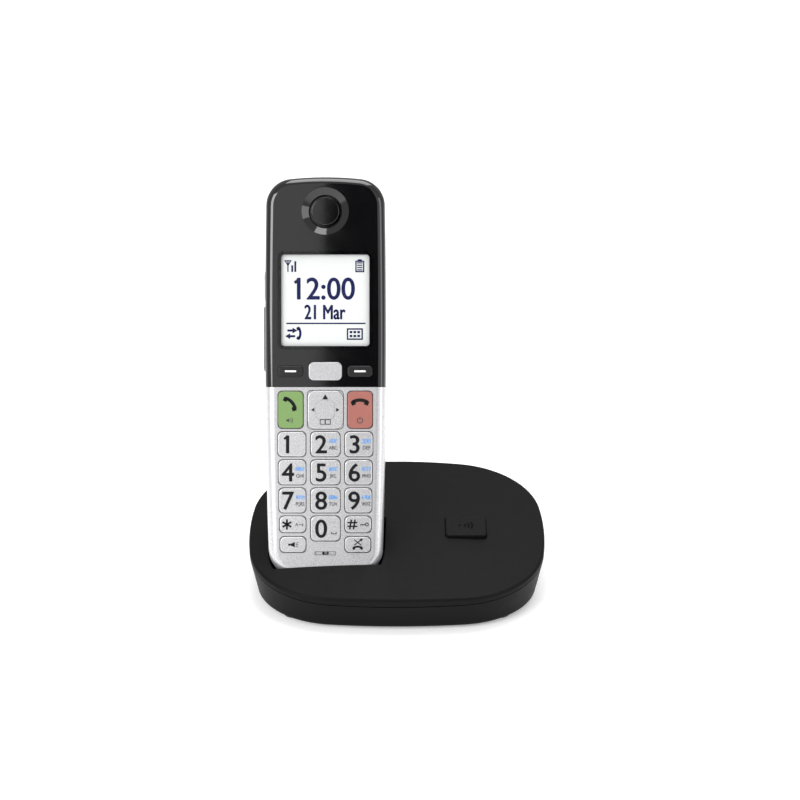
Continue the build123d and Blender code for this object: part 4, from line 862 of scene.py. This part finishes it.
    def print_last_row(self) -> None:
        """The ringer sign and the crossed receiver sign."""
        ringer = Stamp("legend_ringer", "key_ringer")
        ringer.draw(self.draw_torch, self.at("key_ringer", 0.2 * MM), self.black)
        ringer.finish()
        redial = Stamp("legend_redial", "key_redial")
        redial.draw(self.draw_barred_receiver, self.at("key_redial"), self.black)
        redial.finish()

    @staticmethod
    def draw_torch(mesh: Sheet) -> None:
        """A horn that opens to the right, with rays in front of it."""
        horn = bmesh.new()
        bmesh.ops.create_grid(horn, x_segments=1, y_segments=1, size=0.5)
        for vertex in horn.verts:
            vertex.co.x *= 1.9 * MM
            vertex.co.y *= (0.7 if vertex.co.x < 0 else 2.1) * MM
        Art.merge(horn, mesh, Matrix.Translation((-0.35 * MM, 0, 0)))
        Art.plate(mesh, -1.75 * MM, 0, 0.8 * MM, 0.85 * MM)
        for index, turn in enumerate((0.42, 0, -0.42)):
            Art.plate(mesh, 1.5 * MM, (0.8 - 0.8 * index) * MM, 1.05 * MM, 0.26 * MM, turn)

    @staticmethod
    def draw_barred_receiver(mesh: Sheet) -> None:
        """A receiver on its hook under two crossed lines, one with an arrow's head."""
        Art.receiver(mesh, 0, -0.85 * MM, 4.2 * MM, 0)
        Art.plate(mesh, 0, 0.9 * MM, 3.7 * MM, 0.42 * MM, math.radians(38))
        Art.plate(mesh, 0, 0.9 * MM, 3.9 * MM, 0.42 * MM, math.radians(-38))
        Art.disc(mesh, 1.5 * MM, 2.05 * MM, 0.85 * MM, 3, math.radians(38))

    def print_call_keys(self) -> None:
        """The raised receiver and loudspeaker, and the lowered receiver and the power sign."""
        talk = Stamp("legend_talk", "key_talk")
        talk.draw(
            lambda mesh: Art.receiver(mesh, 0, 0, 7.0 * MM, math.radians(-48)),
            self.at("key_talk", 0.55 * MM, 3.2 * MM),
            self.black,
        )
        talk.draw(self.draw_loudspeaker, self.at("key_talk", -0.5 * MM, -4.45 * MM), self.grey)
        talk.finish()
        end = Stamp("legend_end", "key_end")
        end.draw(
            lambda mesh: Art.receiver(mesh, 0, 0, 7.2 * MM, 0),
            self.at("key_end", 0, 4.1 * MM),
            self.black,
        )
        end.draw(self.draw_power, self.at("key_end", 0, -4.45 * MM), self.grey)
        end.finish()

    @staticmethod
    def draw_loudspeaker(mesh: Sheet) -> None:
        """A small loudspeaker with two waves."""
        Art.plate(mesh, -0.95 * MM, 0, 0.6 * MM, 0.8 * MM)
        Art.disc(mesh, -0.45 * MM, 0, 0.95 * MM, 3, math.pi)
        for radius in (0.95, 1.55):
            Art.band(mesh, -0.3 * MM, 0, radius * MM, (radius + 0.24) * MM, -0.75, 1.5)

    @staticmethod
    def draw_power(mesh: Sheet) -> None:
        """A broken ring with a bar in its gap."""
        Art.band(mesh, 0, 0, 0.92 * MM, 1.32 * MM, math.radians(125), math.radians(290))
        Art.plate(mesh, 0, 0.85 * MM, 0.40 * MM, 1.35 * MM)

    def print_navigator(self) -> None:
        """The four directions."""
        stamp = Stamp("legend_navigator", "key_navigator")
        stamp.draw(
            lambda mesh: Art.disc(mesh, 0, 0, 1.45 * MM, 3, math.pi / 2),
            self.at("key_navigator", 0, 5.1 * MM),
            self.black,
        )
        for side, turn in ((-1, math.pi), (1, 0)):
            stamp.draw(
                lambda mesh, turn=turn: Art.disc(mesh, 0, 0, 0.95 * MM, 3, turn),
                self.at("key_navigator", side * 5.05 * MM),
                self.black,
            )
        stamp.draw(self.draw_book, self.at("key_navigator", 0, -5.1 * MM), self.grey)
        stamp.finish()

    @staticmethod
    def draw_book(mesh: Sheet) -> None:
        """An open book: two pages side by side."""
        for side in (-1, 1):
            Art.frame(mesh, side * 1.1 * MM, 0, 2.42 * MM, 2.3 * MM, 0.36 * MM)

    def print_soft_keys(self) -> None:
        """The dashes on the two soft keys."""
        for side in ("left", "right"):
            stamp = Stamp(f"legend_soft_{side}", f"soft_key_{side}")
            stamp.draw(
                lambda mesh: Art.plate(mesh, 0, 0, 4.7 * MM, 0.72 * MM),
                self.at(f"soft_key_{side}"),
                self.white,
            )
            stamp.finish()


@dataclass
class KeySurrounds:
    """Painted shadow of the gap round each key, as a thin dark line on the panel."""

    face: Face
    line: float = 0.24 * MM
    gap: float = 0.08 * MM
    corner: float = 1.9 * MM
    lift: float = 0.004 * MM
    rim_width: float = 8.6 * MM
    rim_height: float = 1.7 * MM
    rim_line: float = 0.22 * MM

    def build(self) -> None:
        """Draws a painted shadow line round every key, and a line round the microphone's slot."""
        # painted shadow: a near-black line on the panel where the gap round each key lies in shade
        shade = Ink("gap_shade", (0.012, 0.012, 0.013), 0.6).material()
        stamp = Stamp("key_gap_shadows_and_slot_rim", "handset")
        keys = [*KEYS, "key_navigator", "key_talk", "key_end"]
        panel = self.face.span("handset_front_lower")[1].z
        for key in keys:
            low, high = self.face.span(key, panel - 0.3 * MM)
            middle = (low + high) / 2
            place = self.face.matrix(middle.x, middle.y, panel + self.lift)
            around = 2 * (self.line + self.gap)
            size = (high.x - low.x + around, high.y - low.y + around)
            stamp.draw(lambda mesh, size=size: self.draw_line(mesh, *size), place, shade)
        low, high = self.face.span("microphone_boot")
        middle = (low + high) / 2
        place = self.face.matrix(middle.x, middle.y, panel + self.lift)
        rim = Ink("slot_rim", (0.16, 0.16, 0.165), 0.5).material()
        size = (self.rim_width, self.rim_height, self.rim_line)
        stamp.draw(lambda mesh: Art.frame(mesh, 0, 0, *size), place, rim)
        stamp.finish()

    def draw_line(self, mesh: Sheet, width: float, height: float) -> None:
        """Draws a rounded outline.

        Args:
            mesh: what it is drawn into.
            width: across its outside.
            height: along its outside.
        """
        corner, line = self.corner, self.line
        for side in (-1, 1):
            Art.plate(mesh, side * (width - line) / 2, 0, line, height - 2 * corner)
            Art.plate(mesh, 0, side * (height - line) / 2, width - 2 * corner, line)
        turns = ((1, 1, 0), (-1, 1, 90), (-1, -1, 180), (1, -1, 270))
        for x, y, start in turns:
            Art.band(
                mesh,
                x * (width / 2 - corner),
                y * (height / 2 - corner),
                corner - line,
                corner,
                math.radians(start),
                math.pi / 2,
            )


# ---------------------------------------------------------------- display
@dataclass
class Display:
    """What the liquid crystal panel shows, just in front of it."""

    face: Face
    gap: float = 0.04 * MM
    pale: Colour = (0.70, 0.72, 0.71)
    half_width: float = 18.55 * MM
    half_height: float = 19.25 * MM
    middle: Vector = field(init=False)

    def __post_init__(self) -> None:
        """Finds the window's middle, just in front of the panel."""
        low, high = self.face.span("display_window")
        front = self.face.span("display_panel")[1].z
        self.middle = Vector(((low.x + high.x) / 2, (low.y + high.y) / 2, front + self.gap))

    def build(self, frame: dict) -> None:
        """Lights the panel and draws the signs on it."""
        middle = self.face.axes @ self.middle
        half_sizes = (self.half_width, self.half_height)
        panel = LitPanel("lcd", self.pale, middle, self.face.up, *half_sizes).material()
        dress(frame, {panel: ("display_panel",)})
        navy = Ink("lcd_navy", (0.010, 0.012, 0.075), 0.5).material()
        stamp = Stamp("display_signs", "handset")
        stamp.write("12:00", self.at(0.2, 5.0), 9.0 * MM, navy, 0.93, 0.2 * MM)
        stamp.draw(self.draw_tick, self.at(-12.0, 8.2), navy)
        stamp.write("21 Mar", self.at(-0.2, -4.9), 5.9 * MM, navy, 0.70, 0.2 * MM)
        stamp.draw(self.draw_rule, self.at(0.2, -9.7), navy)
        stamp.draw(self.draw_signal, self.at(-14.6, 14.6), navy)
        stamp.draw(self.draw_battery, self.at(14.5, 14.6), navy)
        stamp.draw(self.draw_redial, self.at(-12.8, -13.9), navy)
        stamp.draw(self.draw_pad, self.at(12.4, -14.2), navy)
        stamp.finish()

    def at(self, x: float, y: float) -> Matrix:
        """A place on the panel, in millimetres from the window's middle."""
        return self.face.matrix(self.middle.x + x * MM, self.middle.y + y * MM, self.middle.z)

    @staticmethod
    def draw_tick(mesh: Sheet) -> None:
        """The short stroke at the top of the clock's one."""
        Art.plate(mesh, 0, 0, 2.6 * MM, 1.25 * MM, 0.7)

    @staticmethod
    def draw_rule(mesh: Sheet) -> None:
        """The line over the lowest signs."""
        Art.plate(mesh, 0, 0, 33.4 * MM, 0.6 * MM)

    @staticmethod
    def draw_signal(mesh: Sheet) -> None:
        """An aerial and two bars."""
        Art.plate(mesh, -1.2 * MM, -0.3 * MM, 0.5 * MM, 4.6 * MM)
        for side in (-1, 1):
            Art.plate(mesh, (-1.2 + side * 0.62) * MM, 1.15 * MM, 0.42 * MM, 2.3 * MM, side * -0.55)
        Art.plate(mesh, -1.2 * MM, 2.1 * MM, 3.0 * MM, 0.45 * MM)
        Art.plate(mesh, 0.6 * MM, -1.2 * MM, 0.8 * MM, 2.8 * MM)
        Art.plate(mesh, 1.9 * MM, -0.35 * MM, 0.8 * MM, 4.5 * MM)

    @staticmethod
    def draw_battery(mesh: Sheet) -> None:
        """A standing cell with four levels."""
        Art.frame(mesh, 0, -0.3 * MM, 3.8 * MM, 4.9 * MM, 0.55 * MM)
        Art.plate(mesh, 0, 2.4 * MM, 1.8 * MM, 0.6 * MM)
        for index in range(4):
            Art.plate(mesh, 0, (-1.75 + index * 0.98) * MM, 2.2 * MM, 0.5 * MM)

    @staticmethod
    def draw_redial(mesh: Sheet) -> None:
        """Two opposite arrows beside a standing receiver."""
        for side, turn in ((-1, math.pi), (1, 0)):
            Art.plate(mesh, (-1.6 - side * 0.3) * MM, side * 1.2 * MM, 2.7 * MM, 0.9 * MM)
            Art.disc(mesh, (-1.6 + side * 1.2) * MM, side * 1.2 * MM, 1.4 * MM, 3, turn)
        Art.receiver(mesh, 2.2 * MM, 0, 5.2 * MM, math.radians(-90))

    @staticmethod
    def draw_pad(mesh: Sheet) -> None:
        """A framed pad of keys, three by two."""
        Art.frame(mesh, 0, 0, 6.8 * MM, 4.9 * MM, 0.62 * MM)
        for column in (-1, 0, 1):
            for row in (-1, 1):
                Art.plate(mesh, column * 1.62 * MM, row * 0.82 * MM, 1.15 * MM, 1.0 * MM)


# ---------------------------------------------------------------- base
@dataclass
class Locator:
    """The sign on the base's button: a dot and three waves."""

    frame: dict
    lift: float = 0.005 * MM
    thickness: float = 0.03 * MM

    def build(self) -> None:
        """Draws the sign on the button's slanting top."""
        joints = {joint["name"]: joint for joint in self.frame["joints"]}
        out = -Vector(joints["locator_button_press"]["axis"]).normalized()
        across = Vector((1, 0, 0))
        up = out.cross(across)
        points = [vertex.co for vertex in self.frame["nodes"]["locator_button"].data.vertices]
        top = max(point.dot(out) for point in points)
        on_top = [point for point in points if point.dot(out) > top - 0.05 * MM]
        middle = sum(on_top, Vector()) / len(on_top)
        axes = Matrix((across, up, out)).transposed()
        matrix = Matrix.Translation(middle + out * self.lift) @ axes.to_4x4()
        ink = Ink("ink_locator", (0.001, 0.001, 0.001), 0.6, 0.0).material()
        stamp = Stamp("locator_sign", "locator_button")
        stamp.draw(self.draw_waves, matrix, ink, self.thickness)
        stamp.finish()

    @staticmethod
    def draw_waves(mesh: Sheet) -> None:
        """A dot and three waves that spread from it."""
        start, half_line = -2.7 * MM, 0.34
        Art.disc(mesh, start, 0, 0.62 * MM, 20)
        for radius in (2.5, 4.0, 5.5):
            inner, outer = (radius - half_line) * MM, (radius + half_line) * MM
            Art.band(mesh, start, 0, inner, outer, -0.45, 0.9)


# ---------------------------------------------------------------- finishes of the CAD pieces
KEYS = [f"key_{name}" for name in (*range(10), "star", "hash", "ringer", "redial")]

SOUND_PARTS = ("earpiece_receiver", "loudspeaker")
JACKS = ("headset_jack", "line_jack", "power_jack")
CHARGE_CONTACTS = ("charge_contact_left", "charge_contact_right")


def dress_all(frame: dict, face: Face) -> None:
    """Gives every CAD node its finish."""
    gloss = PianoPlastic("piano_black", (0.003, 0.003, 0.0035)).material()
    silver = FlakePaint("silver_paint", (0.66, 0.655, 0.675), metallic=0.6).material()
    key = FlakePaint("key_silver", (0.70, 0.695, 0.71), 0.10 * MM, 0.62, 0.26).material()
    charcoal = GrainedPlastic("charcoal_grain", (0.0045, 0.0045, 0.005), 0.5).material()
    rear = GrainedPlastic("rear_black", (0.005, 0.005, 0.0055), 0.4, 0.18 * MM).material()
    black = GrainedPlastic("black_part", (0.0035, 0.0035, 0.0035), 0.5, 0.15 * MM).material()
    dark_key = KeyPlastic("key_black", (0.008, 0.008, 0.0085), 0.32).material()
    green = KeyPlastic("key_green", (0.19, 0.32, 0.105)).material()
    red = KeyPlastic("key_red", (0.37, 0.13, 0.105)).material()
    rubber = SoftRubber("grey_rubber", (0.03, 0.03, 0.03)).material()
    silicone = SoftRubber("silicone", (0.008, 0.008, 0.009)).material()
    nickel = DrawnMetal("nickel", (0.72, 0.69, 0.64), 0.22).material()
    zinc = DrawnMetal("zinc", (0.55, 0.55, 0.57), 0.34, (6.0, 6.0, 6.0)).material()
    gold = DrawnMetal("gold", (0.83, 0.60, 0.24), 0.2).material()
    guide = KeyPlastic("light_guide", (0.80, 0.80, 0.78), 0.3).material()
    board = SolderMask("solder_mask").material()
    window = ClearWindow("clear_window").material()
    finishes = {
        gloss: ["handset_front_upper", "volume_rocker", "earpiece_cap"],
        silver: ["handset_front_lower", "soft_key_middle"],
        key: [*KEYS, "key_navigator"],
        charcoal: ["base_top_cover", "base_bottom_cover", "locator_button"],
        rear: ["handset_rear_cover", "battery_door"],
        black: [*SOUND_PARTS, *JACKS, "locator_switch", "contact_holder"],
        dark_key: ["soft_key_left", "soft_key_right"],
        green: ["key_talk"],
        red: ["key_end"],
        rubber: ["base_feet", "headset_jack_cover", "microphone_boot"],
        silicone: ["keypad_mat"],
        nickel: ["handset_charge_plates", *CHARGE_CONTACTS, "power_jack_pin"],
        zinc: ["handset_screws", "base_screws", "cell_contacts", "microphone", "base_antenna"],
        gold: ["line_jack_contacts"],
        guide: ["display_backlight", "navigator_pivot"],
        board: ["handset_circuit_board", "base_circuit_board"],
        window: ["display_window"],
    }
    dress(frame, finishes)
    for side in ("left", "right"):
        name = f"cell_{side}"
        low, high = face.span(name)
        middle = face.axes @ ((low + high) / 2)
        up = face.up if side == "left" else -face.up
        dress(frame, {CellSleeve(f"{name}_sleeve", middle, up).material(): [name]})


# ---------------------------------------------------------------- stage
@dataclass
class Studio:
    """The floor, the lights and the camera."""

    floor_size: float = 6.0
    aim: Vector = field(default_factory=lambda: Vector((0.00135, 0.0, 0.08358)))
    distance: float = 0.80925
    elevation: float = math.radians(22.82)
    lens: float = 86.16
    black_card_left: float = -0.09
    black_card_right: float = 0.55
    cards_end: float = 1.6
    card_height: float = 2.2
    card_distance: float = 1.5
    floor_glow: float = 0.30
    surround: float = 0.60

    def build(self) -> None:
        """Sets everything up."""
        bpy.context.scene.view_settings.view_transform = "Standard"
        self.lay_floor()
        self.hang_lights()
        self.stand_cards()
        self.set_camera()

    def back(self) -> Vector:
        """The way from the telephone to the camera."""
        return Vector((0, -math.cos(self.elevation), math.sin(self.elevation)))

    def lay_floor(self) -> None:
        """A plain pale floor that runs far back."""
        source = bmesh.new()
        bmesh.ops.create_grid(source, x_segments=1, y_segments=1, size=self.floor_size / 2)
        pale = Graph("floor").shade(
            Base_Color=(0.88, 0.88, 0.88, 1.0),
            Roughness=0.9,
            Emission_Color=(1.0, 1.0, 1.0, 1.0),
            Emission_Strength=self.floor_glow,
        )
        put_mesh("floor", source, [pale])

    @staticmethod
    def light(name: str, place: tuple, target: tuple, size: tuple, power: float) -> None:
        """Hangs one softbox, its power in watts."""
        data = bpy.data.lights.new(name, "AREA")
        data.shape = "RECTANGLE"
        data.size, data.size_y = size
        data.energy = power
        lamp = put(name, data)
        lamp.location = place
        lamp.rotation_euler = (Vector(target) - Vector(place)).to_track_quat("-Z", "Y").to_euler()

    def stand_cards(self) -> None:
        """Three cards that only the gloss mirrors: a dark one between two bright ones."""
        self.card("grey_card", -self.cards_end, self.black_card_left, 1.0)
        self.card("black_card", self.black_card_left, self.black_card_right, 0.0)
        self.card("edge_card", self.black_card_right, self.cards_end, 0.9)

    def card(self, name: str, left: float, right: float, glow: float) -> None:
        """Stands one card behind the camera, facing the telephone.

        Args:
            name: the card's name.
            left: the place of its left edge, in metres.
            right: the place of its right edge.
            glow: how bright it is.
        """
        back = self.back()
        middle = self.aim + back * self.card_distance
        source = bmesh.new()
        size = Matrix.Diagonal((right - left, self.card_height, 1, 1))
        facing = back.to_track_quat("Z", "Y").to_matrix().to_4x4()
        place = Matrix.Translation((left / 2 + right / 2, middle.y, middle.z)) @ facing @ size
        bmesh.ops.create_grid(source, x_segments=1, y_segments=1, size=0.5, matrix=place)
        paint = Graph(name).shade(
            Base_Color=(0, 0, 0, 1),
            Roughness=1.0,
            Specular_IOR_Level=0.0,
            Emission_Color=(1, 1, 1, 1),
            Emission_Strength=glow,
        )
        card = put_mesh(name, source, [paint])
        card.visible_camera = False
        card.visible_diffuse = False
        card.visible_shadow = False
        card.visible_transmission = False

    def hang_lights(self) -> None:
        """Soft light from above and both sides, over a pale surround."""
        world = bpy.data.worlds.new("surround")
        world.use_nodes = True
        background = world.node_tree.nodes["Background"]
        background.inputs["Color"].default_value = (1.0, 1.0, 1.0, 1.0)
        background.inputs["Strength"].default_value = self.surround
        bpy.context.scene.world = world
        middle, low = (0, 0, 0.08), (0, 0, 0.05)
        self.light("key", (-0.9, -0.9, 0.8), middle, size=(0.7, 0.7), power=11)
        self.light("fill", (1.1, -0.5, 0.5), middle, size=(0.5, 0.8), power=3)
        self.light("top", (0.1, 0.3, 1.3), low, size=(0.9, 0.9), power=12)

    def set_camera(self) -> None:
        """The camera, a little above the telephone."""
        data = bpy.data.cameras.new("camera")
        data.lens = self.lens
        data.sensor_width = 36.0
        camera = put("camera", data)
        back = self.back()
        camera.location = self.aim + back * self.distance
        camera.rotation_euler = (-back).to_track_quat("-Z", "Y").to_euler()
        bpy.context.scene.camera = camera


def main() -> None:
    """Builds the scene."""
    logging.basicConfig(level=logging.INFO, format="%(name)s: %(message)s")
    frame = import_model()
    face = Face(frame)
    dress_all(frame, face)
    Display(face).build(frame)
    Keypad(face).build()
    KeySurrounds(face).build()
    Locator(frame).build()
    Studio().build()


if __name__ == "__main__":
    main()
